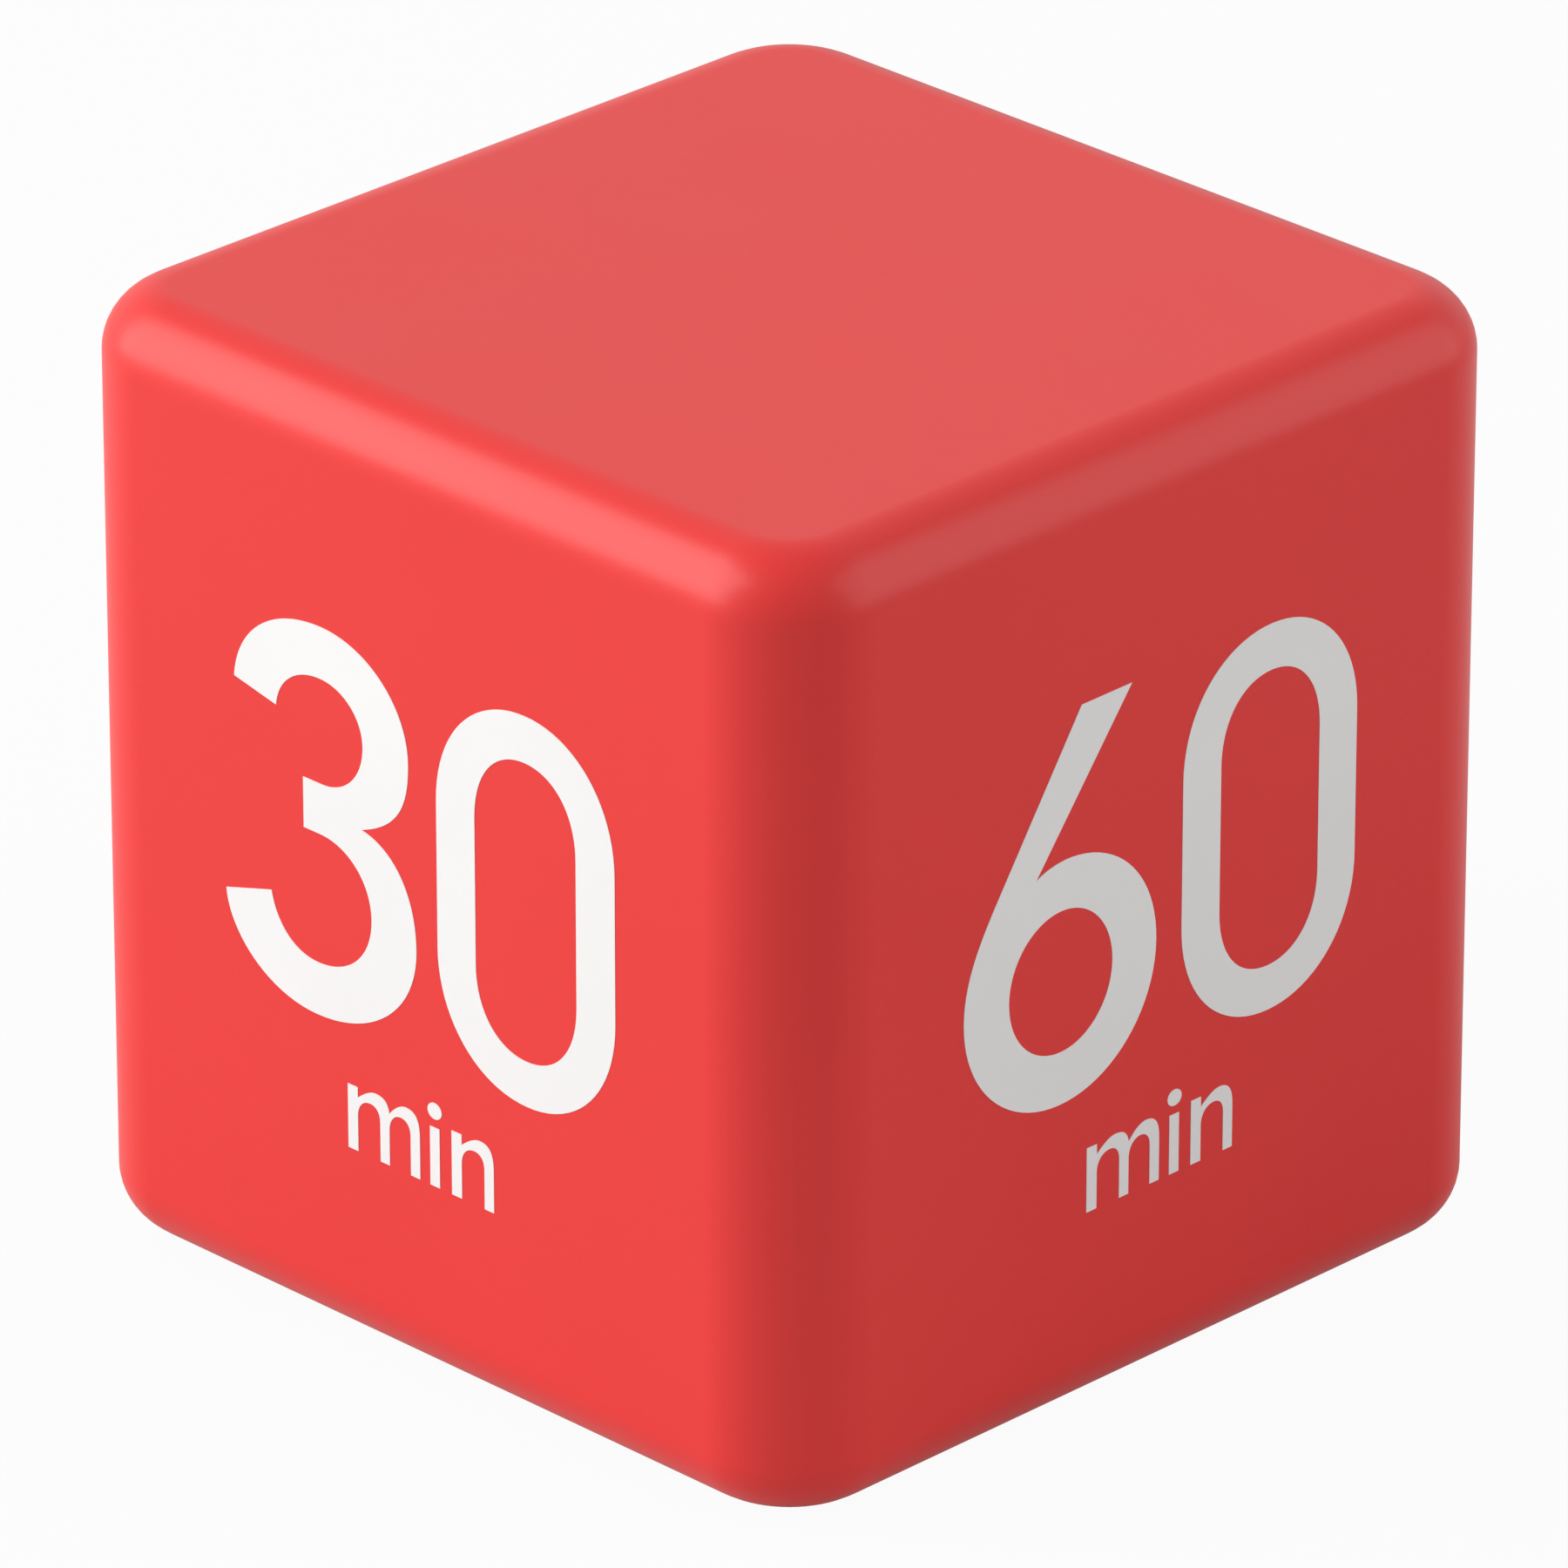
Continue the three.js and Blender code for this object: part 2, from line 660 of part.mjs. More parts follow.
function coilSpring(name, x, y, towards) {
  const steps = Math.round(springTurns * coilStepsPerTurn);
  const wire = rodAlong(new TaperedCoil(towards), springWire / 2, steps, wireSides);
  return piece(name, wire, steel, [x, y, cellZ]);
}

// Display window, glass cell, holder and contact strip
function displayPieces() {
  const windowTop = windowSink + windowThickness;
  const pane = slab(windowShift, displayY, windowHalfX, windowHalfY, windowCorner, windowSink, windowTop);
  const glassLow = coverThickness + slimGap;
  const glassMiddle = glassLow + glassThickness;
  const glassTop = glassMiddle + glassThickness;
  const front = block(windowShift, displayY, glassHalfX, glassHalfY, glassLow, glassMiddle);
  const rearHalf = glassHalfY - glassContactLedge / 2;
  const rearY = displayY - glassContactLedge / 2;
  const rear = block(windowShift, rearY, glassHalfX, rearHalf, glassLow, glassTop);
  const stripY = displayY + glassHalfY - stripWidth / 2 - slimGap;
  const strip = block(windowShift, stripY, glassHalfX - stripEndMargin, stripWidth / 2, glassMiddle, boardZ);
  const wallsX = holderHalfX - holderWall;
  const wallsY = holderHalfY - holderWall;
  const outer = block(windowShift, displayY, holderHalfX, holderHalfY, coverThickness, boardZ);
  const hollow = block(windowShift, displayY, wallsX, wallsY, -overrun, boardZ + overrun);
  const barY = stripY - stripWidth / 2 - slimGap - holderBarWidth / 2;
  const barLow = glassTop + fitGap;
  const barTop = boardZ - solderPinDrop - slimGap;
  const crossbar = block(windowShift, barY, wallsX + holderWall / 2, holderBarWidth / 2, barLow, barTop);
  return [
    piece('display_window', pane, clearPlastic),
    piece('display_glass', front.add(rear), displayGlass),
    piece('display_holder', without(outer, [hollow]).add(crossbar), greyPlastic),
    piece('contact_strip', strip, stripRubber),
  ];
}

// Circuit board, notched round the shell's posts and drilled for screws and pins
function circuitBoard() {
  const y = (boardLowY + boardHighY) / 2;
  const board = block(0, y, boardHalfX, (boardHighY - boardLowY) / 2, boardZ, boardTop);
  const [low, high] = [boardZ - overrun, boardTop + overrun];
  const notch = postRadius + bayPostGap;
  const cuts = [];
  const notchHalf = notch + cubeHalf / 2;
  for (const side of [-1, 1]) {
    cuts.push(block(side * (postX + cubeHalf / 2), postY + cubeHalf / 2, notchHalf, notchHalf, low, high));
  }
  for (const [x, postPlaceY] of boardPostPlaces()) {
    cuts.push(bar(x, postPlaceY, boardScrewShank + fitGap, low, high, pinSides));
  }
  for (const [x, pinY] of boardPinPlaces()) {
    cuts.push(bar(x, pinY, solderPinRadius + pinClearance, low, high, pinSides));
  }
  return piece('circuit_board', without(board, cuts), boardLaminate);
}

// Every soldered pin's place on the board
function boardPinPlaces() {
  const pins = [];
  for (const step of [-1, 0, 1]) pins.push([switchX, displayY + step * switchPinPitch]);
  for (const side of [-1, 1]) pins.push([buzzerX, displayY + side * buzzerPinSpread]);
  for (const side of [-1, 1]) {
    pins.push([tiltAcrossX + side * tiltReach, displayY + tiltAcrossY]);
    pins.push([tiltAlongX, displayY + tiltAlongY + side * tiltReach]);
  }
  return pins;
}

// Epoxy dome over the timer chip
function chipDome() {
  const profile = [[0, 0]];
  for (let i = 0; i <= domeSteps; i += 1) {
    const angle = i / domeSteps * Math.PI / 2;
    const radius = i === domeSteps ? 0 : chipRadius * Math.cos(angle);
    profile.push([radius, chipHeight * Math.sin(angle)]);
  }
  return piece('chip_dome', turned(profile), blackPlastic, [chipX, displayY + chipY, boardTop]);
}

// Watch crystal in its drawn can, lying on the board
function crystalCan() {
  const profile = [[0, 0], [crystalRadius, 0], [crystalRadius, crystalLength], [0, crystalLength]];
  const can = turned(profile, smallSides);
  const place = [crystalX - crystalLength / 2, displayY + crystalY, boardTop + crystalRadius + slimGap];
  const mesh = piece('crystal_can', can, nickel, place);
  mesh.rotation.y = Math.PI / 2;
  return mesh;
}

// Buzzer: a moulded case with a sound hole, a piezo disc under its ledge, and a base with two pins
function buzzerPieces() {
  const inner = buzzerRadius - buzzerWall;
  const throat = inner - buzzerLedge;
  const ceiling = buzzerHeight - buzzerWall;
  const caseProfile = [
    [inner, 0],
    [buzzerRadius, 0],
    [buzzerRadius, buzzerHeight - buzzerWall / 2],
    [buzzerRadius - buzzerWall / 2, buzzerHeight],
    [buzzerHoleRadius, buzzerHeight],
    [buzzerHoleRadius, ceiling],
    [throat, ceiling],
    [throat, buzzerSeat],
    [inner, buzzerSeat],
    [inner, 0],
  ];
  const discTop = buzzerSeat - slimGap;
  const discLow = discTop - piezoPlate;
  const ceramicLow = discLow - piezoCeramic;
  const discProfile = [
    [0, ceramicLow],
    [piezoCeramicRadius, ceramicLow],
    [piezoCeramicRadius, discLow],
    [inner - doorGap, discLow],
    [inner - doorGap, discTop],
    [0, discTop],
  ];
  const baseRadius = inner - doorGap;
  const base = bar(0, 0, baseRadius, slimGap, buzzerBaseThickness, roundSides);
  const pinLow = -boardThickness - solderPinDrop;
  const pinHigh = buzzerBaseThickness / 2;
  const pin = (y) => bar(0, y, solderPinRadius, pinLow, pinHigh, pinSides);
  const pins = [pin(-buzzerPinSpread), pin(buzzerPinSpread)];
  const place = [buzzerX, displayY, boardTop];
  return [
    piece('buzzer_case', turned(caseProfile), blackPlastic, place),
    piece('piezo_disc', turned(discProfile), brass, place),
    piece('buzzer_base', joined([base, ...pins]), blackPlastic, place),
  ];
}

// One tilt switch along its own X axis: can, two plugs, two bent pins and the ball between them
function tiltSwitch(tag) {
  const group = new THREE.Group();
  const half = tiltCanLength / 2;
  const canProfile = [
    [tiltBoreRadius, -half],
    [tiltCanRadius, -half],
    [tiltCanRadius, half],
    [tiltBoreRadius, half],
    [tiltBoreRadius, -half],
  ];
  const can = piece(`tilt_can_${tag}`, turned(canProfile, smallSides), nickel);
  can.rotation.y = Math.PI / 2;
  const sphere = solidOf(new THREE.SphereGeometry(tiltBallRadius, smallSides, pinSides));
  const ball = piece(`tilt_ball_${tag}`, sphere, steel);
  group.add(can, ball);
  const plugRadius = tiltBoreRadius - slimGap;
  const flangeRadius = tiltCanRadius - slimGap;
  const plugProfile = [
    [solderPinRadius + slimGap, half - tiltPlugDepth],
    [plugRadius, half - tiltPlugDepth],
    [plugRadius, half],
    [flangeRadius, half],
    [flangeRadius, half + tiltPlugFlange],
    [solderPinRadius + slimGap, half + tiltPlugFlange],
    [solderPinRadius + slimGap, half - tiltPlugDepth],
  ];
  const plugSolid = turned(plugProfile, smallSides);
  for (const [side, end] of [[-1, 'a'], [1, 'b']]) {
    const plug = piece(`tilt_plug_${tag}_${end}`, plugSolid, blackPlastic);
    plug.rotation.y = side * Math.PI / 2;
    const inX = half - tiltPlugDepth - tiltPinReach;
    const lowZ = -(tiltZ - boardZ) - solderPinDrop;
    const route = new THREE.CurvePath();
    const bendIn = new THREE.Vector3(tiltReach - tiltPinBend, 0, 0);
    const bendOut = new THREE.Vector3(tiltReach, 0, -tiltPinBend);
    route.add(new THREE.LineCurve3(new THREE.Vector3(inX, 0, 0), bendIn));
    route.add(new THREE.QuadraticBezierCurve3(bendIn, new THREE.Vector3(tiltReach, 0, 0), bendOut));
    route.add(new THREE.LineCurve3(bendOut, new THREE.Vector3(tiltReach, 0, lowZ)));
    const wire = rodAlong(route, solderPinRadius, pinSteps, wireSides);
    const pin = piece(`tilt_pin_${tag}_${end}`, wire, nickel);
    pin.rotation.z = side < 0 ? Math.PI : 0;
    group.add(plug, pin);
  }
  return group;
}

// Slide switch under the board: can, base with pins, slider, and the knob in the end cover
function switchPieces() {
  const canLow = boardZ - switchCanHeight;
  const restY = displayY - switchTravel / 2;
  const innerX = switchCanHalfX - switchCanWall;
  const innerY = switchCanHalfY - switchCanWall;
  const canHollow = block(switchX, displayY, innerX, innerY, canLow + switchCanWall, boardZ + overrun);
  const slotY = sliderStemHalfY + switchTravel / 2 + doorGap;
  const canSlot = block(switchX, displayY, sliderStemHalfX + doorGap, slotY, canLow - overrun, boardZ);
  const canBox = block(switchX, displayY, switchCanHalfX, switchCanHalfY, canLow, boardZ);
  const baseTop = boardZ - slimGap;
  const baseLow = baseTop - switchBaseThickness;
  const base = block(switchX, displayY, innerX - slimGap, innerY - slimGap, baseLow, baseTop);
  const pinTop = boardTop + switchPinRise;
  const pinY = (step) => displayY + step * switchPinPitch;
  const pin = (step) => bar(switchX, pinY(step), switchPinRadius, baseLow + slimGap, pinTop, pinSides);
  const pins = [-1, 0, 1].map(pin);
  const blockLow = canLow + switchCanWall + slimGap;
  const blockTop = blockLow + sliderBlockHeight;
  const slider = block(switchX, restY, sliderBlockHalfX, sliderBlockHalfY, blockLow, blockTop);
  const flangeTop = coverThickness + slimGap + knobFlangeThickness;
  const socketFloor = flangeTop - knobSocketDepth;
  const stemLow = socketFloor + slimGap;
  const stemTop = blockLow + sliderBlockHeight / 2;
  const stem = block(switchX, restY, sliderStemHalfX, sliderStemHalfY, stemLow, stemTop);
  const flange = block(switchX, restY, knobFlangeHalfX, knobFlangeHalfY, coverThickness + slimGap, flangeTop);
  const grip = block(switchX, restY, knobHalfX, knobHalfY, knobSink, flangeTop);
  const ridges = [-1, 0, 1].map((step) => {
    const y = restY + step * knobRidgePitch;
    const [low, high] = [knobSink - knobRidgeHeight, knobSink + knobRidgeHeight];
    return block(switchX, y, knobHalfX, knobRidgeWidth / 2, low, high);
  });
  const [socketX, socketY] = [sliderStemHalfX + slimGap, sliderStemHalfY + slimGap];
  const socket = block(switchX, restY, socketX, socketY, socketFloor, flangeTop + overrun);
  return [
    piece('switch_can', without(canBox, [canHollow, canSlot]), steel),
    piece('switch_base', joined([base, ...pins]), blackPlastic),
    piece('switch_slider', slider.add(stem), blackPlastic),
    piece('switch_knob', without(joined([flange, grip, ...ridges]), [socket]), blackPlastic),
  ];
}

// Pan-head screw about +Z: the head is low, the point is up
function screwSolid(headRadius, headHeight, shankRadius, length, pointLength) {
  const crown = headRadius * crownShare;
  const profile = [
    [0, 0],
    [crown, 0],
    [headRadius, headHeight * crownRiseShare],
    [headRadius, headHeight],
    [shankRadius, headHeight],
    [shankRadius, headHeight + length - pointLength],
    [0, headHeight + length],
  ];
  return turned(profile, smallSides);
}

function caseScrews() {
  const solid = screwSolid(screwHeadRadius, screwHeadHeight, screwShankRadius, screwLength, screwPointLength);
  return cornerSigns.map(([sx, sy], i) => {
    const place = [sx * postX, sy * postY, screwSink];
    return piece(`case_screw_${i + 1}`, solid, steel, place);
  });
}

function boardScrews() {
  const headHeight = boardScrewHeadHeight;
  const solid = screwSolid(boardScrewHead, headHeight, boardScrewShank, boardScrewLength, boardScrewPoint);
  return boardPostPlaces().map(([x, y], i) => {
    const mesh = piece(`board_screw_${i + 1}`, solid, steel, [x, y, boardTop + headHeight]);
    mesh.rotation.x = Math.PI;
    return mesh;
  });
}

// A battery lead from its solder tab, along the roof of the bay and down to its pad on the board
function batteryLead(name, tabY, lane, material) {
  const startX = -plateX + fitGap + leadRadius;
  const laneX = startX + leadPadX - lane * leadPadSpacing;
  const runZ = bayRoofTop + leadRadius + fitGap;
  const padY = boardLowY + leadPadInset;
  const points = [
    [startX, tabY, runZ],
    [laneX - leadBend / 2, tabY + leadBend / 4, runZ],
    [laneX, tabY + leadBend, runZ],
    [laneX, (tabY + bayTopY) / 2 + leadBend / 2, runZ],
    [laneX, bayTopY - leadBend / 4, runZ],
    [laneX, padY, bayRoofTop - leadBend / 2],
    [laneX, padY, boardTop + leadBend],
    [laneX, padY, boardTop + slimGap],
  ].map((place) => new THREE.Vector3(...place));
  return piece(name, rodAlong(new THREE.CatmullRomCurve3(points), leadRadius, leadSteps), material);
}

// The end cover with all that it carries, then the shell over it
function assembly() {
  const timer = new THREE.Group();
  timer.add(bodyShell(), endCover(), batteryDoor(), ...displayPieces(), circuitBoard());
  timer.add(chipDome(), crystalCan(), ...buzzerPieces(), ...switchPieces());

  const cellYs = [bayY - cellSpacing / 2, bayY + cellSpacing / 2];
  timer.add(cell('cell_1', plateX - springLength - slimGap, cellYs[0], -1));
  timer.add(cell('cell_2', -plateX + springLength + slimGap, cellYs[1], 1));
  timer.add(terminalPlate('positive_terminal', cellYs[0]), terminalPlate('negative_terminal', cellYs[1]));
  timer.add(bridgePlate());
  timer.add(coilSpring('bridge_spring', plateX, cellYs[0], -1));
  timer.add(coilSpring('negative_spring', -plateX, cellYs[1], 1));
  timer.add(batteryLead('battery_lead_red', cellYs[0], 0, leadRed));
  timer.add(batteryLead('battery_lead_black', cellYs[1], 1, leadBlack));

  const across = tiltSwitch('x');
  across.position.set(tiltAcrossX, displayY + tiltAcrossY, tiltZ);
  const along = tiltSwitch('y');
  along.position.set(tiltAlongX, displayY + tiltAlongY, tiltZ);
  along.rotation.z = Math.PI / 2;
  timer.add(across, along, ...caseScrews(), ...boardScrews());
  return timer;
}

export default assembly();
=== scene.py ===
import math

import bpy
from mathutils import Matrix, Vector


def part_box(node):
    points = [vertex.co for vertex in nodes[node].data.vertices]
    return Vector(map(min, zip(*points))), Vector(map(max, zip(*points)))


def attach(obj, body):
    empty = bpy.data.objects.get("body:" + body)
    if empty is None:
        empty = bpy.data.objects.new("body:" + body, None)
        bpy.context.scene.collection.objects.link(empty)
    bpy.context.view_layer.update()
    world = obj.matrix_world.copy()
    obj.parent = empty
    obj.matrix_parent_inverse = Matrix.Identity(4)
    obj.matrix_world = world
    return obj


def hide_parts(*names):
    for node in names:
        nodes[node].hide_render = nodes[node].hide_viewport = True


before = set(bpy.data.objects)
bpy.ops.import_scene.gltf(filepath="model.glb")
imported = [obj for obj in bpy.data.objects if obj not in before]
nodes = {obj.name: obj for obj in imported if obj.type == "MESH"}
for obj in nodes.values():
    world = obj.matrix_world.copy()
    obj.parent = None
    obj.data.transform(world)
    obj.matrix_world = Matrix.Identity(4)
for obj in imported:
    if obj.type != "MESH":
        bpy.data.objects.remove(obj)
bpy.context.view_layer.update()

# Camera: a long lens a little under a metre from the cube, 25 degrees up, facing the upright edge
# between the side with 30 and the side with 60.
camera_place = Vector((0.586133, -0.586352, 0.419119))
camera_aim = Vector((0.000257, -0.000727, 0.030510))
bpy.ops.object.camera_add(location=camera_place)
camera = bpy.context.object
camera.name = "camera"
camera.rotation_euler = (camera_aim - camera_place).to_track_quat("-Z", "Y").to_euler()
camera.data.lens = 337.61
camera.data.sensor_width = 36
camera.data.clip_start = 0.05
bpy.context.scene.camera = camera
bpy.context.scene.view_settings.view_transform = "Standard"


# Floor: a plain white sheet under the cube. It takes the cube's soft shadow, and it is lifted to white
# where the camera, a reflection or clear plastic looks at it.
def seen_directly(tree, camera_share, glossy_share):
    """How far a ray from the camera, a reflection or clear plastic sees the plain white, from 0 to 1."""
    path = tree.nodes.new("ShaderNodeLightPath")
    camera_part = tree.nodes.new("ShaderNodeMath")
    camera_part.operation = "MULTIPLY"
    camera_part.inputs[1].default_value = camera_share
    tree.links.new(path.outputs["Is Camera Ray"], camera_part.inputs[0])
    glossy_part = tree.nodes.new("ShaderNodeMath")
    glossy_part.operation = "MULTIPLY_ADD"
    glossy_part.inputs[1].default_value = glossy_share
    tree.links.new(path.outputs["Is Glossy Ray"], glossy_part.inputs[0])
    tree.links.new(camera_part.outputs[0], glossy_part.inputs[2])
    clear_part = tree.nodes.new("ShaderNodeMath")
    clear_part.operation = "MULTIPLY_ADD"
    clear_part.inputs[1].default_value = camera_share
    clear_part.use_clamp = True
    tree.links.new(path.outputs["Is Transmission Ray"], clear_part.inputs[0])
    tree.links.new(glossy_part.outputs[0], clear_part.inputs[2])
    return clear_part.outputs[0]


floor_size, floor_drop = 8, 0.00005
bpy.ops.mesh.primitive_plane_add(size=floor_size, location=(0, 0, -floor_drop))
floor = bpy.context.object
floor.name = "floor"
floor_white = bpy.data.materials.new("floor_white")
floor_white.use_nodes = True
floor_tree = floor_white.node_tree
floor_shader = floor_tree.nodes["Principled BSDF"]
floor_shader.inputs["Base Color"].default_value = (0.62, 0.62, 0.62, 1)
floor_shader.inputs["Roughness"].default_value = 0.9
floor_shader.inputs["Specular IOR Level"].default_value = 0
floor_light = floor_tree.nodes.new("ShaderNodeEmission")
floor_light.inputs["Color"].default_value = (1, 1, 1, 1)
floor_mix = floor_tree.nodes.new("ShaderNodeMixShader")
floor_white_share = seen_directly(floor_tree, camera_share=0.95, glossy_share=0.2)
floor_tree.links.new(floor_white_share, floor_mix.inputs[0])
floor_tree.links.new(floor_shader.outputs[0], floor_mix.inputs[1])
floor_tree.links.new(floor_light.outputs[0], floor_mix.inputs[2])
floor_tree.links.new(floor_mix.outputs[0], floor_tree.nodes["Material Output"].inputs["Surface"])
floor.data.materials.append(floor_white)

# Studio light: a white room, a large soft lamp on the left that favours the side with 30, and a weaker one
# on the right. Their reflections are the bright lines along the top edges.
room = bpy.data.worlds.new("white_room")
bpy.context.scene.world = room
room.use_nodes = True
room_tree = room.node_tree
room_light = room_tree.nodes["Background"]
room_light.inputs["Color"].default_value = (1, 1, 1, 1)
room_strength = room_tree.nodes.new("ShaderNodeMapRange")
room_strength.inputs["To Min"].default_value = 0.36
room_strength.inputs["To Max"].default_value = 1.0
room_white_share = seen_directly(room_tree, camera_share=1, glossy_share=0.7)
room_tree.links.new(room_white_share, room_strength.inputs["Value"])
room_tree.links.new(room_strength.outputs["Result"], room_light.inputs["Strength"])
lamp_aim = Vector((0, 0, 0.03))


def soft_lamp(name, place, width, power):
    """A square lamp that faces the middle of the cube."""
    bpy.ops.object.light_add(type="AREA", location=place)
    lamp = bpy.context.object
    lamp.name = name
    lamp.data.shape = "SQUARE"
    lamp.data.size = width
    lamp.data.energy = power
    lamp.rotation_euler = (lamp_aim - Vector(place)).to_track_quat("-Z", "Y").to_euler()


soft_lamp("left_lamp", (-0.56, -0.60, 0.49), width=0.92, power=10.8)
soft_lamp("right_lamp", (0.76, 0.62, 0.44), width=1.1, power=5.0)


# Case shell: the five-sided cube that carries the printed times, moulded in satin red ABS. It is open
# below, where the end cover closes it, and four gusseted posts inside take the case screws.
closeness = 0.000001  # points nearer than this are at one place
just_past = 0.00001  # far enough to be clearly past a face
along_axis = 0.9  # a direction with more than this share on one axis runs along it


def everything(middle, direction):
    return True


def upright_edge(middle, along):
    return abs(along.z) > along_axis


def pick(piece, kind, wanted):
    """Selects the edges or faces of the piece whose middle and direction are wanted, in edit mode."""
    bpy.ops.object.mode_set(mode="OBJECT")
    mesh = piece.data
    for items in (mesh.vertices, mesh.edges, mesh.polygons):
        items.foreach_set("select", [False] * len(items))
    bpy.context.tool_settings.mesh_select_mode = (False, kind == "EDGE", kind == "FACE")
    if kind == "EDGE":
        for edge in mesh.edges:
            start, end = (mesh.vertices[i].co for i in edge.vertices)
            edge.select = wanted((start + end) / 2, (end - start).normalized())
    else:
        for face in mesh.polygons:
            face.select = wanted(face.center, face.normal)
    bpy.ops.object.mode_set(mode="EDIT")


def begin(add, name, **settings):
    """A new primitive, alone in the selection, with its place and size in its mesh."""
    if bpy.context.object and bpy.context.object.mode == "EDIT":
        bpy.ops.object.mode_set(mode="OBJECT")
    bpy.ops.object.select_all(action="DESELECT")
    add(**settings)
    piece = bpy.context.object
    piece.name = name
    piece.data.name = name
    bpy.ops.object.transform_apply(location=True, rotation=True, scale=True)
    return piece


def block(name, low, high):
    """A plain block between two corners, to be shaped, joined or cut with."""
    middle = [(a + b) / 2 for a, b in zip(low, high)]
    size = [b - a for a, b in zip(low, high)]
    return begin(bpy.ops.mesh.primitive_cube_add, name, size=1, location=middle, scale=size)


def only(*pieces):
    """Leaves just these pieces selected, the first one active."""
    if bpy.context.object and bpy.context.object.mode == "EDIT":
        bpy.ops.object.mode_set(mode="OBJECT")
    bpy.ops.object.select_all(action="DESELECT")
    for piece in pieces:
        piece.select_set(True)
    bpy.context.view_layer.objects.active = pieces[0]


def joined(first, *others):
    """Makes the pieces one object, with their skins as they are."""
    only(first, *others)
    bpy.ops.object.join()
    return first


def combine(piece, other, operation):
    """Puts the other shape on the piece or takes it out of the piece, and removes the other object."""
    only(piece)
    change = piece.modifiers.new("change", "BOOLEAN")
    change.operation = operation
    change.solver = "EXACT"
    change.use_self = True
    change.object = other
    bpy.ops.object.modifier_apply(modifier=change.name)
    bpy.data.objects.remove(other)
    return piece


def cut(piece, cutter):
    """Takes the cutter's shape out of the piece."""
    combine(piece, cutter, "DIFFERENCE")


def fused(piece, addition):
    """Makes the piece and the addition one skin."""
    return combine(piece, addition, "UNION")


def mended(piece):
    """Joins points that lie on each other and takes out slivers, so that the mesh is one closed skin."""
    pick(piece, "FACE", everything)
    bpy.ops.mesh.remove_doubles(threshold=closeness)
    bpy.ops.mesh.dissolve_degenerate(threshold=closeness)
    bpy.ops.object.mode_set(mode="OBJECT")
    return piece


def even_shading(piece):
    """Rounded edges shade smoothly into flat faces, and sharp edges stay sharp."""
    only(piece)
    bpy.ops.object.shade_smooth_by_angle(angle=math.radians(30))
    level = piece.modifiers.new("flat faces", "WEIGHTED_NORMAL")
    level.keep_sharp = True
    bpy.ops.object.modifier_apply(modifier=level.name)


def rounded_cube(name, half_width, low, high, corner, rim):
    """A square block with rounded upright corners and a smaller rounding along both ends."""
    box = block(name, (-half_width, -half_width, low), (half_width, half_width, high))
    pick(box, "EDGE", upright_edge)
    bpy.ops.mesh.bevel(offset=corner, segments=16, affect="EDGES")
    pick(box, "EDGE", lambda middle, along: min(abs(middle.z - low), abs(middle.z - high)) < closeness)
    bpy.ops.mesh.bevel(offset=rim, segments=12, affect="EDGES")
    bpy.ops.object.mode_set(mode="OBJECT")
    return box


def keep_above(box, level):
    """Cuts away what is below the level, and leaves the cut open."""
    pick(box, "FACE", everything)
    bpy.ops.mesh.bisect(plane_co=(0, 0, level), plane_no=(0, 0, 1), clear_inner=True, use_fill=False)
    bpy.ops.object.mode_set(mode="OBJECT")


def mottled(name, dark, light, gloss, patch, grain, relief, metallic=0.0):
    """A finish whose colour and gloss drift a little in patches, with a fine grain in relief."""
    material = bpy.data.materials.new(name)
    material.use_nodes = True
    tree = material.node_tree
    shader = tree.nodes["Principled BSDF"]
    shader.inputs["Metallic"].default_value = metallic
    place = tree.nodes.new("ShaderNodeTexCoord")
    cloud = tree.nodes.new("ShaderNodeTexNoise")
    cloud.inputs["Scale"].default_value = patch
    cloud.inputs["Detail"].default_value = 3
    tree.links.new(place.outputs["Object"], cloud.inputs["Vector"])
    colour = tree.nodes.new("ShaderNodeMix")
    colour.data_type = "RGBA"
    dark_socket, light_socket, mixed_socket = colour.inputs[6], colour.inputs[7], colour.outputs[2]
    dark_socket.default_value = (*dark, 1)
    light_socket.default_value = (*light, 1)
    tree.links.new(cloud.outputs["Fac"], colour.inputs[0])
    tree.links.new(mixed_socket, shader.inputs["Base Color"])
    sheen = tree.nodes.new("ShaderNodeMapRange")
    sheen.inputs["From Min"].default_value = 0.3
    sheen.inputs["From Max"].default_value = 0.7
    sheen.inputs["To Min"].default_value = gloss[0]
    sheen.inputs["To Max"].default_value = gloss[1]
    tree.links.new(cloud.outputs["Fac"], sheen.inputs["Value"])
    tree.links.new(sheen.outputs["Result"], shader.inputs["Roughness"])
    grit = tree.nodes.new("ShaderNodeTexNoise")
    grit.inputs["Scale"].default_value = grain
    grit.inputs["Detail"].default_value = 2
    tree.links.new(place.outputs["Object"], grit.inputs["Vector"])
    bump = tree.nodes.new("ShaderNodeBump")
    bump.inputs["Strength"].default_value = 0.4
    bump.inputs["Distance"].default_value = relief
    tree.links.new(grit.outputs["Fac"], bump.inputs["Height"])
    tree.links.new(bump.outputs["Normal"], shader.inputs["Normal"])
    return material


def coat(piece, finish):
    """Gives the piece this finish alone."""
    piece.data.materials.clear()
    piece.data.materials.append(finish)


cube_side = 0.064
cube_half = cube_side / 2
shell_wall = 0.0025
upright_corner = 0.00725
end_rim = 0.0042
seam_level = 0.0015

case_red = mottled(
    "case_red", dark=(0.775, 0.036, 0.033), light=(0.815, 0.040, 0.037), gloss=(0.33, 0.37),
    patch=45, grain=2600, relief=0.000012,
)
case_red.node_tree.nodes["Principled BSDF"].inputs["Specular IOR Level"].default_value = 0.33

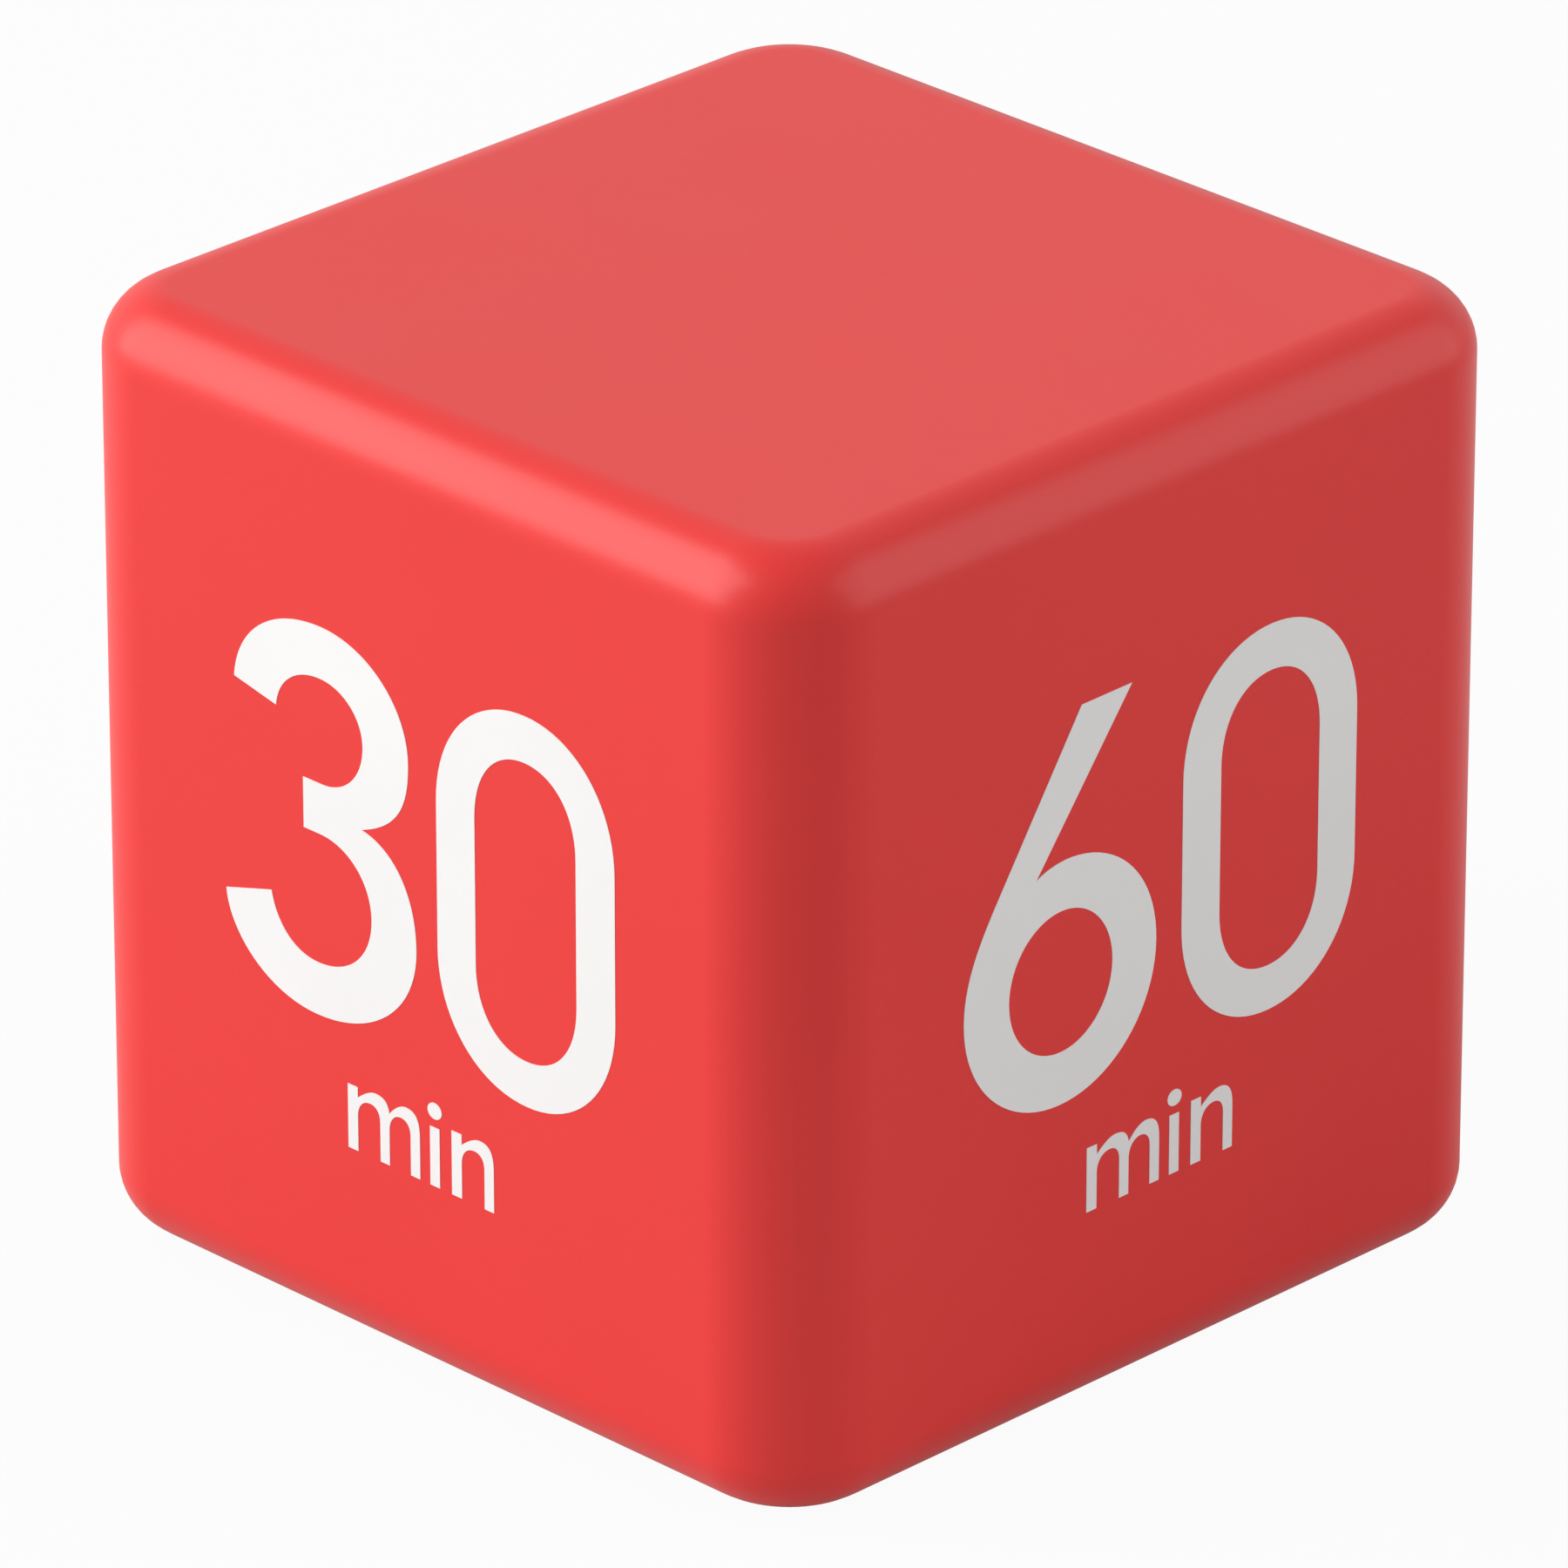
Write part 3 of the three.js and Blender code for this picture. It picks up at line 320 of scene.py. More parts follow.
body_shell = rounded_cube("case_shell", cube_half, 0, cube_side, upright_corner, end_rim)
keep_above(body_shell, seam_level)
hollow = rounded_cube(
    "shell_hollow", cube_half - shell_wall, -cube_half, cube_side - shell_wall,
    upright_corner - shell_wall, end_rim - shell_wall,
)
keep_above(hollow, seam_level)
pick(hollow, "FACE", everything)
bpy.ops.mesh.flip_normals()
joined(body_shell, hollow)
pick(body_shell, "EDGE", lambda middle, along: abs(middle.z - seam_level) < closeness)
bpy.ops.mesh.bridge_edge_loops()

four_corners = ((-1, -1), (1, -1), (1, 1), (-1, 1))
post_x, post_y, post_foot, post_radius = 0.0242, 0.0246, 0.0025, 0.0026
pilot_radius, pilot_length = 0.00105, 0.017
gusset_half, gusset_foot, gusset_reach_x, gusset_reach_y = 0.0006, 0.006, 0.0065, 0.0061
post_top = cube_side - shell_wall / 2
posts, post_holes = [], []
for sx, sy in four_corners:
    x, y = sx * post_x, sy * post_y
    posts.append(begin(
        bpy.ops.mesh.primitive_cylinder_add, "screw_post", vertices=32, radius=post_radius,
        depth=post_top - post_foot, location=(x, y, (post_top + post_foot) / 2),
    ))
    wall_x, wall_y = x + sx * gusset_reach_x, y + sy * gusset_reach_y
    posts.append(block(
        "gusset", (min(x, wall_x), y - gusset_half, gusset_foot),
        (max(x, wall_x), y + gusset_half, post_top),
    ))
    posts.append(block(
        "gusset", (x - gusset_half, min(y, wall_y), gusset_foot),
        (x + gusset_half, max(y, wall_y), post_top),
    ))
    post_holes.append(begin(
        bpy.ops.mesh.primitive_cylinder_add, "post_hole", vertices=32, radius=pilot_radius,
        depth=pilot_length, location=(x, y, post_foot),
    ))
fused(body_shell, joined(*posts))
cut(body_shell, joined(*post_holes))
mended(body_shell)
even_shading(body_shell)
coat(body_shell, case_red)
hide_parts("body_shell")
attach(body_shell, "case")


# Printed times: white ink, printed flat on the four sides: 30 in front, 60 on the right, and 5 and 15 on
# the hidden sides. Each digit is 26 mm tall, and the word min stands under it.
def outline(path):
    """One closed outline from a start and its steps: a point for a straight, three for a curve."""
    anchors = [list(path[0])]
    leaving, arriving = [None], [None]
    for step in path[1:]:
        if isinstance(step[0], (int, float)):
            leaving.append(None)
            arriving.append(None)
            anchors.append(list(step))
        else:
            leaving[-1] = step[0]
            leaving.append(None)
            arriving.append(step[1])
            anchors.append(list(step[2]))
    if max(abs(anchors[0][i] - anchors[-1][i]) for i in (0, 1)) < closeness:
        arriving[0] = arriving[-1]
        anchors, leaving, arriving = anchors[:-1], leaving[:-1], arriving[:-1]
    return anchors, leaving, arriving


def oval(x, y, half_x, half_y, flat=0.0, fullness=0.5523):
    """An upright oval, with straight sides of the half length flat, and round ends of this fullness."""
    kx, ky = half_x * fullness, (half_y - flat) * fullness
    top, low = y + half_y, y - half_y
    return [
        (x - half_x, y - flat), (x - half_x, y + flat),
        [(x - half_x, y + flat + ky), (x - kx, top), (x, top)],
        [(x + kx, top), (x + half_x, y + flat + ky), (x + half_x, y + flat)],
        (x + half_x, y - flat),
        [(x + half_x, y - flat - ky), (x + kx, low), (x, low)],
        [(x - kx, low), (x - half_x, y - flat - ky), (x - half_x, y - flat)],
    ]


digit_zero = [
    oval(9.5, 35.38, half_x=7.72, half_y=13.08, flat=4.9, fullness=0.575),
    oval(9.5, 35.35, half_x=4.38, half_y=10.0, flat=4.9, fullness=0.595),
]
digit_three = [[
    (-16.05, 42.86),
    [(-15.75, 46.2), (-12.68, 48.59), (-8.32, 48.59)],
    [(-4.1, 48.59), (-0.65, 45.6), (-0.65, 41.86)],
    [(-0.65, 38.9), (-1.7, 37.2), (-4.86, 36.1)],
    [(-2.0, 35.7), (-0.1, 33.2), (-0.1, 29.5)],
    [(-0.1, 25.3), (-4.0, 22.19), (-9.05, 22.19)],
    [(-13.52, 22.19), (-16.85, 25.2), (-17.08, 28.14)],
    (-12.99, 29.32),
    [(-12.6, 27.4), (-11.2, 25.77), (-8.86, 25.77)],
    [(-6.2, 25.77), (-4.05, 27.6), (-4.05, 30.23)],
    [(-4.05, 32.7), (-6.0, 34.59), (-8.6, 34.59)],
    (-10.0, 34.59),
    (-10.0, 38.01),
    (-8.3, 38.01),
    [(-6.3, 38.01), (-4.65, 39.6), (-4.65, 41.68)],
    [(-4.65, 43.6), (-6.3, 45.1), (-8.41, 45.1)],
    [(-10.6, 45.1), (-12.15, 43.8), (-12.32, 42.08)],
]]
digit_six = [[
    (-17.19, 30.4),
    [(-17.19, 33.6), (-15.55, 35.94), (-13.77, 38.6)],
    (-7.19, 48.45),
    (-2.83, 48.5),
    (-11.05, 37.95),
    [(-10.3, 38.4), (-9.0, 38.62), (-7.9, 38.57)],
    [(-3.6, 38.3), (-0.46, 34.9), (-0.46, 30.6)],
    [(-0.46, 25.9), (-4.2, 22.2), (-8.86, 22.2)],
    [(-13.5, 22.2), (-17.19, 25.9), (-17.19, 30.4)],
], oval(-8.8, 30.5, half_x=4.5, half_y=4.75)]
digit_five = [[
    (-5.6, 48.3),
    (6.3, 48.3),
    (6.3, 45.1),
    (-2.6, 45.1),
    (-3.5, 38.5),
    [(-2.4, 38.95), (-1.2, 39.1), (0.0, 39.1)],
    [(4.8, 39.1), (8.2, 35.6), (8.2, 30.8)],
    [(8.2, 25.8), (4.6, 22.2), (-0.5, 22.2)],
    [(-3.9, 22.2), (-6.6, 23.7), (-8.3, 26.3)],
    (-5.6, 28.2),
    [(-4.4, 26.4), (-2.7, 25.5), (-0.6, 25.5)],
    [(2.4, 25.5), (4.5, 27.7), (4.5, 30.7)],
    [(4.5, 33.7), (2.4, 35.8), (-0.5, 35.8)],
    [(-2.4, 35.8), (-4.0, 35.2), (-5.0, 34.2)],
    (-7.7, 35.0),
]]
digit_one = [[
    (1.7, 22.3), (1.7, 48.4), (-1.2, 48.4), (-6.0, 44.7), (-4.3, 42.2), (-1.7, 44.2), (-1.7, 22.3),
]]
word_foot, stem_top, stem_width, arch_top, arch_under = 14.0, 18.38, 0.88, 18.5, 17.65


def arched(stem, legs):
    """A small m or n: a straight stem, then one arch and leg after another."""
    stem_right = stem + stem_width
    path = [(stem, word_foot), (stem, stem_top), (stem_right, stem_top), (stem_right, 17.68)]
    for number, (left, right) in enumerate(legs):
        path.append([(left - 1.3, 18.25), (left - 0.8, arch_top), (left - 0.35, arch_top)])
        if number + 1 < len(legs):
            path.append([(left + 0.4, arch_top), (right - 0.1, 18.2), (right, 17.55)])
        else:
            path.append([(left + 0.55, arch_top), (right, 17.9), (right, 16.85)])
    path.append((legs[-1][1], word_foot))
    for number in range(len(legs) - 1, -1, -1):
        left, right = legs[number]
        before = stem_right if number == 0 else legs[number - 1][1]
        path.append((left, word_foot))
        path.append((left, 16.65))
        path.append([(left, 17.35), (left - 0.4, arch_under), (left - 0.85, arch_under)])
        path.append([(before + 0.45, arch_under), (before, 17.15), (before, 16.4)])
        path.append((before, word_foot))
    return [path]


small_m = arched(-6.38, [(-3.51, -2.69), (-0.81, 0.01)])
small_i = [
    [(0.92, word_foot), (0.92, 18.03), (1.76, 18.03), (1.76, word_foot)],
    oval(1.35, 19.15, half_x=0.62, half_y=0.55),
]
small_n = arched(2.83, [(5.71, 6.53)])
word_min = small_m + small_i + small_n


def shifted(paths, right):
    """The same outlines, moved to the right by so many millimetres."""
    return [
        [
            (step[0] + right, step[1]) if isinstance(step[0], (int, float))
            else [(x + right, y) for x, y in step]
            for step in path
        ]
        for path in paths
    ]


print_white = mottled(
    "print_white", dark=(0.84, 0.84, 0.83), light=(0.88, 0.88, 0.87), gloss=(0.42, 0.5),
    patch=90, grain=3500, relief=0.000008,
)
print_white.node_tree.nodes["Principled BSDF"].inputs["Specular IOR Level"].default_value = 0.4
ink_middle, ink_half = 0.00001, 0.00002
mm_per_metre = 1000


def printed(name, paths, quarter_turns):
    """Ink with these outlines, in millimetres over the face, so many quarter turns round the cube."""
    bpy.ops.object.select_all(action="DESELECT")
    bpy.ops.curve.primitive_bezier_circle_add()
    ink = bpy.context.object
    ink.name = name
    drawing = ink.data
    drawing.dimensions = "2D"
    drawing.fill_mode = "BOTH"
    drawing.resolution_u = 20
    drawing.extrude = ink_half
    drawing.splines.clear()
    for path in paths:
        anchors, leaving, arriving = outline(path)
        spline = drawing.splines.new("BEZIER")
        spline.bezier_points.add(len(anchors) - 1)
        spline.use_cyclic_u = True
        for point, anchor, after, before in zip(spline.bezier_points, anchors, leaving, arriving):
            point.handle_right_type = "FREE" if after else "VECTOR"
            point.handle_left_type = "FREE" if before else "VECTOR"
            point.co = (anchor[0] / mm_per_metre, anchor[1] / mm_per_metre, 0)
            point.handle_right = [c / mm_per_metre for c in (after or anchor)] + [0]
            point.handle_left = [c / mm_per_metre for c in (before or anchor)] + [0]
    bpy.ops.object.convert(target="MESH")
    ink = bpy.context.object
    ink.data.name = name
    turn = quarter_turns * math.pi / 2
    ink.rotation_euler = (math.pi / 2, 0, turn)
    reach = cube_half + ink_middle
    ink.location = (reach * math.sin(turn), -reach * math.cos(turn), 0)
    bpy.ops.object.transform_apply(location=True, rotation=True, scale=True)
    mended(ink)
    bpy.ops.object.shade_flat()
    coat(ink, print_white)
    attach(ink, "case")


printed("printed_30", digit_three + digit_zero + word_min, 0)
printed("printed_60", digit_six + digit_zero + word_min, 1)
printed("printed_15", shifted(digit_one, -9.2) + shifted(digit_five, 6.6) + word_min, 2)
printed("printed_5", digit_five + word_min, 3)


# End cover: the red ABS moulding that closes the cube from below and that it stands on. A rounded face
# with the display window, sound holes, switch and battery door, and behind it a tongue, the battery bay
# and four posts for the circuit board. Four screws hold it to the shell.
def cad_copy(name, node):
    """A copy of a CAD node's shape, its loose triangles merged into whole faces."""
    bpy.context.view_layer.update()
    copy = bpy.data.objects.new(name, nodes[node].data.copy())
    copy.data.name = name
    bpy.context.scene.collection.objects.link(copy)
    copy.data.materials.clear()
    only(copy)
    bpy.ops.mesh.customdata_custom_splitnormals_clear()
    pick(copy, "FACE", everything)
    bpy.ops.mesh.remove_doubles(threshold=0.000002)
    bpy.ops.mesh.dissolve_limited(angle_limit=math.radians(0.5))
    bpy.ops.object.mode_set(mode="OBJECT")
    return copy


def rounded_block(name, low, high, corner):
    """A block with rounded upright corners."""
    piece = block(name, low, high)
    pick(piece, "EDGE", upright_edge)
    bpy.ops.mesh.bevel(offset=corner, segments=6, affect="EDGES")
    bpy.ops.object.mode_set(mode="OBJECT")
    return piece


def eased(piece, wanted, width, steps=2):
    """Breaks the sharp edges whose middle is wanted with a small rounding."""
    pick(piece, "EDGE", lambda middle, along: False)
    bpy.ops.mesh.edges_select_sharp(sharpness=math.radians(50))
    bpy.ops.object.mode_set(mode="OBJECT")
    points = piece.data.vertices
    for edge in piece.data.edges:
        start, end = (points[i].co for i in edge.vertices)
        edge.select = edge.select and wanted((start + end) / 2, (end - start).normalized())
    for point in points:
        point.select = False
    bpy.ops.object.mode_set(mode="EDIT")
    bpy.ops.mesh.bevel(offset=width, segments=steps, affect="EDGES", clamp_overlap=True)
    bpy.ops.object.mode_set(mode="OBJECT")


bay_y = -0.0094
rebate_half_x, rebate_half_y, rebate_corner = 0.0265, 0.0122, 0.0012
nib_from, nib_to, nib_half_y, nib_floor = 0.0262, 0.0271, 0.0033, 0.00085
window_x, window_y, window_half_x, window_half_y = -0.0032, 0.014, 0.017, 0.009
window_corner, window_play = 0.0015, 0.0002
switch_x = 0.0188
dish_half_x, dish_half_y, dish_depth, dish_corner = 0.0029, 0.0054, 0.0008, 0.0012
slot_half_x, slot_half_y = 0.0017, 0.0035
counterbore_radius = 0.0022
sound_holes, sound_hole_radius, sound_hole_pitch, sound_hole_y = 7, 0.0007, 0.003, 0.0257
cut_from, cut_to = -0.001, 0.003
drill_middle, drill_length = 0.0015, 0.005
pocket_half_x, pocket_half_y = window_half_x + window_play, window_half_y + window_play

cover_face = rounded_cube("end_cover_face", cube_half, 0, cube_side, upright_corner, end_rim)
pick(cover_face, "FACE", everything)
bpy.ops.mesh.bisect(plane_co=(0, 0, seam_level), plane_no=(0, 0, 1), clear_outer=True, use_fill=True)
openings = [
    rounded_block(
        "rebate", (-rebate_half_x, bay_y - rebate_half_y, cut_from),
        (rebate_half_x, bay_y + rebate_half_y, cut_to), rebate_corner,
    ),
    block("nib_pocket", (nib_from, bay_y - nib_half_y, nib_floor), (nib_to, bay_y + nib_half_y, cut_to)),
    rounded_block(
        "pocket", (window_x - pocket_half_x, window_y - pocket_half_y, cut_from),
        (window_x + pocket_half_x, window_y + pocket_half_y, cut_to), window_corner + window_play,
    ),
    rounded_block(
        "dish", (switch_x - dish_half_x, window_y - dish_half_y, cut_from),
        (switch_x + dish_half_x, window_y + dish_half_y, dish_depth), dish_corner,
    ),
    block(
        "slot", (switch_x - slot_half_x, window_y - slot_half_y, cut_from),
        (switch_x + slot_half_x, window_y + slot_half_y, cut_to),
    ),
]
for sx, sy in four_corners:
    openings.append(begin(
        bpy.ops.mesh.primitive_cylinder_add, "counterbore", vertices=40, radius=counterbore_radius,
        depth=drill_length, location=(sx * post_x, sy * post_y, drill_middle),
    ))
for number in range(sound_holes):
    hole_x = window_x + (number - sound_holes // 2) * sound_hole_pitch
    openings.append(begin(
        bpy.ops.mesh.primitive_cylinder_add, "sound_hole", vertices=20, radius=sound_hole_radius,
        depth=drill_length, location=(hole_x, sound_hole_y, drill_middle),
    ))
cut(cover_face, joined(*openings))
eased(cover_face, lambda middle, along: middle.z < closeness, width=0.00015)
cover_inside = cad_copy("end_cover_inside", "end_cover")
sink, beyond = 0.00005, 0.04
parting, sunk_to = seam_level + just_past, seam_level - sink
cut(cover_inside, block("below_seam", (-beyond, -beyond, -beyond), (beyond, beyond, parting)))
for point in cover_inside.data.vertices:
    if abs(point.co.z - parting) < closeness:
        point.co.z = sunk_to
end_cover = fused(cover_face, cover_inside)
end_cover.name = "end_cover_moulding"
mended(end_cover)
even_shading(end_cover)
coat(end_cover, case_red)
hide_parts("end_cover")
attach(end_cover, "case")


# Battery door: a flat plate of the same red ABS, with two hooks at one end and a sprung, slit tongue at
# the other, a groove for a nail, and a moulded arrow beside it that shows which way the door opens.
arrow_x, arrow_radius, arrow_depth, door_face = 0.0125, 0.0024, 0.0012, 0.00025
battery_door = cad_copy("battery_door_moulding", "battery_door")
cut(battery_door, begin(
    bpy.ops.mesh.primitive_cylinder_add, "arrow", vertices=3, radius=arrow_radius, depth=arrow_depth,
    location=(arrow_x, bay_y, 0), rotation=(0, 0, math.radians(-90)),
))
eased(battery_door, lambda middle, along: middle.z < door_face + just_past, width=0.00012)
even_shading(battery_door)
coat(battery_door, case_red)
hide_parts("battery_door")
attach(battery_door, "door")


# Display window: a pane of clear acrylic, pressed into its pocket in the end cover, with polished and
# slightly rounded edges.
window_clear = bpy.data.materials.new("window_clear")
window_clear.use_nodes = True
window_tree = window_clear.node_tree
window_shader = window_tree.nodes["Principled BSDF"]
window_shader.inputs["Base Color"].default_value = (0.22, 0.24, 0.25, 1)
window_shader.inputs["Alpha"].default_value = 0.16
window_shader.inputs["Specular IOR Level"].default_value = 1.0
window_place = window_tree.nodes.new("ShaderNodeTexCoord")
window_haze = window_tree.nodes.new("ShaderNodeTexNoise")
window_haze.inputs["Scale"].default_value = 160
window_tree.links.new(window_place.outputs["Object"], window_haze.inputs["Vector"])
window_gloss = window_tree.nodes.new("ShaderNodeMapRange")
window_gloss.inputs["To Min"].default_value = 0.02
window_gloss.inputs["To Max"].default_value = 0.09
window_tree.links.new(window_haze.outputs["Fac"], window_gloss.inputs["Value"])
window_tree.links.new(window_gloss.outputs["Result"], window_shader.inputs["Roughness"])

window_face, window_back = 0.0003, 0.00142
window = rounded_block(
    "window_pane", (window_x - window_half_x, window_y - window_half_y, window_face),
    (window_x + window_half_x, window_y + window_half_y, window_back), window_corner,
)
eased(window, lambda middle, along: middle.z < window_face + just_past, width=0.0002, steps=3)
even_shading(window)
coat(window, window_clear)
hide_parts("display_window")
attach(window, "case")


# Display cell: grey-green liquid crystal glass behind the window. Its digits, four and a colon, are dark
# segments in the glass, and read the right way up when the side with 30 is on top.
display_grey = mottled(
    "display_grey", dark=(0.36, 0.40, 0.32), light=(0.40, 0.44, 0.355), gloss=(0.12, 0.2),
    patch=120, grain=5000, relief=0.000003,
)
coat(nodes["display_glass"], display_grey)
segment_black = mottled(
    "segment_black", dark=(0.018, 0.021, 0.02), light=(0.032, 0.036, 0.034), gloss=(0.25, 0.35),
    patch=400, grain=6000, relief=0.000001,
)
bar_half, bar_thickness, bar_level = 0.0005, 0.00004, 0.00258
upright_bar, level_bar, colon_bar, colon_half = 0.0037, 0.0035, 0.0011, 0.0018
digit_half_width, digit_half, outer_digit, inner_digit = 0.0021, 0.0044, 0.0112, 0.0046


def segment(x, y, length, upright):
    """One segment of a digit: a slim bar with pointed ends."""
    bar = begin(
        bpy.ops.mesh.primitive_cylinder_add, "segment", vertices=6, radius=bar_half, depth=bar_thickness,
        location=(0, 0, bar_level), rotation=(0, 0, math.radians(30)),
    )
    for point in bar.data.vertices:
        if abs(point.co.x) > closeness:
            point.co.x += math.copysign(length / 2 - bar_half, point.co.x)
    bar.rotation_euler.z = math.pi / 2 if upright else 0
    bar.location = (x, y, 0)
    bpy.ops.object.transform_apply(location=True, rotation=True, scale=True)
    return bar


spots = {
    "a": (0, -digit_half, False), "g": (0, 0, False), "d": (0, digit_half, False),
    "f": (-digit_half_width, -digit_half / 2, True), "b": (digit_half_width, -digit_half / 2, True),
    "e": (-digit_half_width, digit_half / 2, True), "c": (digit_half_width, digit_half / 2, True),
}
bars = []
for place, letters in (
    (-outer_digit, "abcdg"), (-inner_digit, "abcdef"), (inner_digit, "abcdef"), (outer_digit, "abcdef"),
):
    for letter in letters:
        right, down, upright = spots[letter]
        length = upright_bar if upright else level_bar
        bars.append(segment(window_x + place + right, window_y + down, length, upright))
for y in (window_y - colon_half, window_y + colon_half):
    bars.append(segment(window_x, y, colon_bar, False))
display_digits = joined(*bars)
display_digits.name = "display_digits"
bpy.ops.object.shade_flat()
coat(display_digits, segment_black)
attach(display_digits, "case")


# Power switch: a knob of black plastic with three grip ridges, in a shallow dish of the end cover. It
# moves the slider of the small metal switch on the board.
black_satin = mottled(
    "black_satin", dark=(0.012, 0.012, 0.014), light=(0.021, 0.021, 0.024), gloss=(0.34, 0.46),
    patch=220, grain=4200, relief=0.00001,
)
knob_eased_below = 0.0009
switch_knob = cad_copy("switch_knob_moulding", "switch_knob")
eased(switch_knob, lambda middle, along: middle.z < knob_eased_below, width=0.0001)
even_shading(switch_knob)
coat(switch_knob, black_satin)
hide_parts("switch_knob")
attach(switch_knob, "switch")


# Case screws: zinc-plated self-tapping screws with pan heads and cross recesses, one up into each post
# of the shell.
zinc_steel = mottled(
    "zinc_steel", dark=(0.50, 0.51, 0.53), light=(0.60, 0.61, 0.62), gloss=(0.26, 0.38),
    patch=900, grain=9000, relief=0.000004, metallic=1.0,
)
head_radius, head_depth, head_face, head_rounding = 0.0019, 0.0012, 0.0003, 0.00055
shank_radius, shank_length, tip_length, tip_share = 0.00095, 0.0068, 0.0012, 0.1
cross_half, arm_half, cross_floor = 0.0011, 0.0002, 0.0010
for number, (sx, sy) in enumerate(four_corners, 1):
    x, y = sx * post_x, sy * post_y
    screw = begin(
        bpy.ops.mesh.primitive_cylinder_add, f"case_screw_head_{number}", vertices=40, radius=head_radius,
        depth=head_depth, location=(x, y, head_face + head_depth / 2),
    )
    pick(screw, "EDGE", lambda middle, along: middle.z < head_face + just_past)
    bpy.ops.mesh.bevel(offset=head_rounding, segments=5, affect="EDGES")
    pick(screw, "FACE", lambda middle, normal: normal.z > along_axis)
    bpy.ops.mesh.inset(thickness=head_radius - shank_radius)
    bpy.ops.mesh.extrude_region_move(TRANSFORM_OT_translate={"value": (0, 0, shank_length)})
    bpy.ops.mesh.extrude_region_move(TRANSFORM_OT_translate={"value": (0, 0, tip_length)})
    bpy.ops.transform.resize(value=(tip_share, tip_share, 1))
    bpy.ops.object.mode_set(mode="OBJECT")
    cross = joined(
        block("cross", (x - cross_half, y - arm_half, 0), (x + cross_half, y + arm_half, cross_floor)),
        block("cross", (x - arm_half, y - cross_half, 0), (x + arm_half, y + cross_half, cross_floor)),
    )
    cut(screw, cross)
    even_shading(screw)
    coat(screw, zinc_steel)
    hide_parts(f"case_screw_{number}")
    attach(screw, "case")


# Cells: two AAA cells side by side, end for end. Each is a drawn steel can in a printed film, with a
# light band at its positive end, a bare rim and nub, and a flat negative end.
film_slate = mottled(
    "film_slate", dark=(0.026, 0.034, 0.05), light=(0.036, 0.046, 0.066), gloss=(0.2, 0.3),
    patch=300, grain=7000, relief=0.000003,
)
film_band = mottled(
    "film_band", dark=(0.52, 0.55, 0.57), light=(0.6, 0.62, 0.63), gloss=(0.2, 0.3),
    patch=300, grain=7000, relief=0.000003,
)
bare_nickel = mottled(
    "bare_nickel", dark=(0.58, 0.56, 0.51), light=(0.66, 0.64, 0.59), gloss=(0.2, 0.32),
    patch=700, grain=8000, relief=0.000003, metallic=1.0,
)
nub_length, nub_radius, nub_rim = 0.0009, 0.0019, 0.0003
ring_from, ring_to = 0.0003, 0.0005
end_margin, end_hollow, band_length = 0.0008, 0.0003, 0.0082
rim_from, side_from = 0.97, 0.93  # shares of the radius


def end_disc(axis, side):
    """Picks out the middle disc of the end on this side."""
    return lambda at, normal: normal.x * side > along_axis and (at - axis).yz.length < nub_radius / 2


def end_rims(axis, radius, ends):
    """Picks out the edges on the outer rims of both ends."""
    return lambda at, along: (
        (at - axis).yz.length > radius * rim_from
        and min(abs(at.x - end) for end in ends) < closeness
    )


for number in (1, 2):
    low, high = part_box(f"cell_{number}")
    nub_end = -1 if number == 1 else 1
    middle = (low + high) / 2
    radius = (high.y - low.y) / 2
    can = high.x - low.x - nub_length
    cell = begin(
        bpy.ops.mesh.primitive_cylinder_add, f"aaa_cell_{number}", vertices=64, radius=radius, depth=can,
        location=(middle.x - nub_end * nub_length / 2, middle.y, middle.z), rotation=(0, math.pi / 2, 0),
    )
    nub_x = high.x if nub_end > 0 else low.x
    pick(cell, "FACE", lambda at, normal: abs(normal.x) > along_axis)
    bpy.ops.mesh.inset(thickness=ring_from)
    bpy.ops.mesh.inset(thickness=ring_to - ring_from)
    pick(cell, "FACE", end_disc(middle, nub_end))
    bpy.ops.mesh.inset(thickness=radius - ring_to - nub_radius)
    bpy.ops.mesh.extrude_region_move(TRANSFORM_OT_translate={"value": (nub_end * nub_length, 0, 0)})
    bpy.ops.mesh.inset(thickness=nub_rim)
    pick(cell, "FACE", end_disc(middle, -nub_end))
    bpy.ops.mesh.inset(thickness=end_margin)
    bpy.ops.transform.translate(value=(nub_end * end_hollow, 0, 0))
    bpy.ops.object.mode_set(mode="OBJECT")
    ends = [middle.x - nub_end * (nub_length / 2 + side * can / 2) for side in (-1, 1)]
    eased(cell, end_rims(middle, radius, ends), width=0.00035, steps=4)
    pick(cell, "FACE", everything)
    bpy.ops.mesh.bisect(plane_co=(nub_x - nub_end * band_length, 0, 0), plane_no=(1, 0, 0))
    mended(cell)
    cell.data.materials.clear()
    for finish in (film_slate, film_band, bare_nickel):
        cell.data.materials.append(finish)
    for face in cell.data.polygons:
        on_side = (face.center - middle).yz.length > radius * side_from
        in_band = (nub_x - face.center.x) * nub_end < band_length
        face.material_index = (1 if in_band else 0) if on_side else 2
    even_shading(cell)
    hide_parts(f"cell_{number}")
    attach(cell, "case")


# Battery contacts: nickel-plated steel plates in the lips of the bay, with a raised dimple for each nub,
# and two coil springs of steel wire that press the cells' flat ends.
nickel_plate = mottled(
    "nickel_plate", dark=(0.56, 0.54, 0.49), light=(0.66, 0.64, 0.58), gloss=(0.22, 0.34),
    patch=500, grain=8000, relief=0.000004, metallic=1.0,
)
for name in ("positive_terminal", "negative_terminal", "bridge_contact"):
    plate = cad_copy(f"{name}_plate", name)
    eased(plate, everything, width=0.00008)
    even_shading(plate)
    coat(plate, nickel_plate)
    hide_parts(name)
    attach(plate, "case")

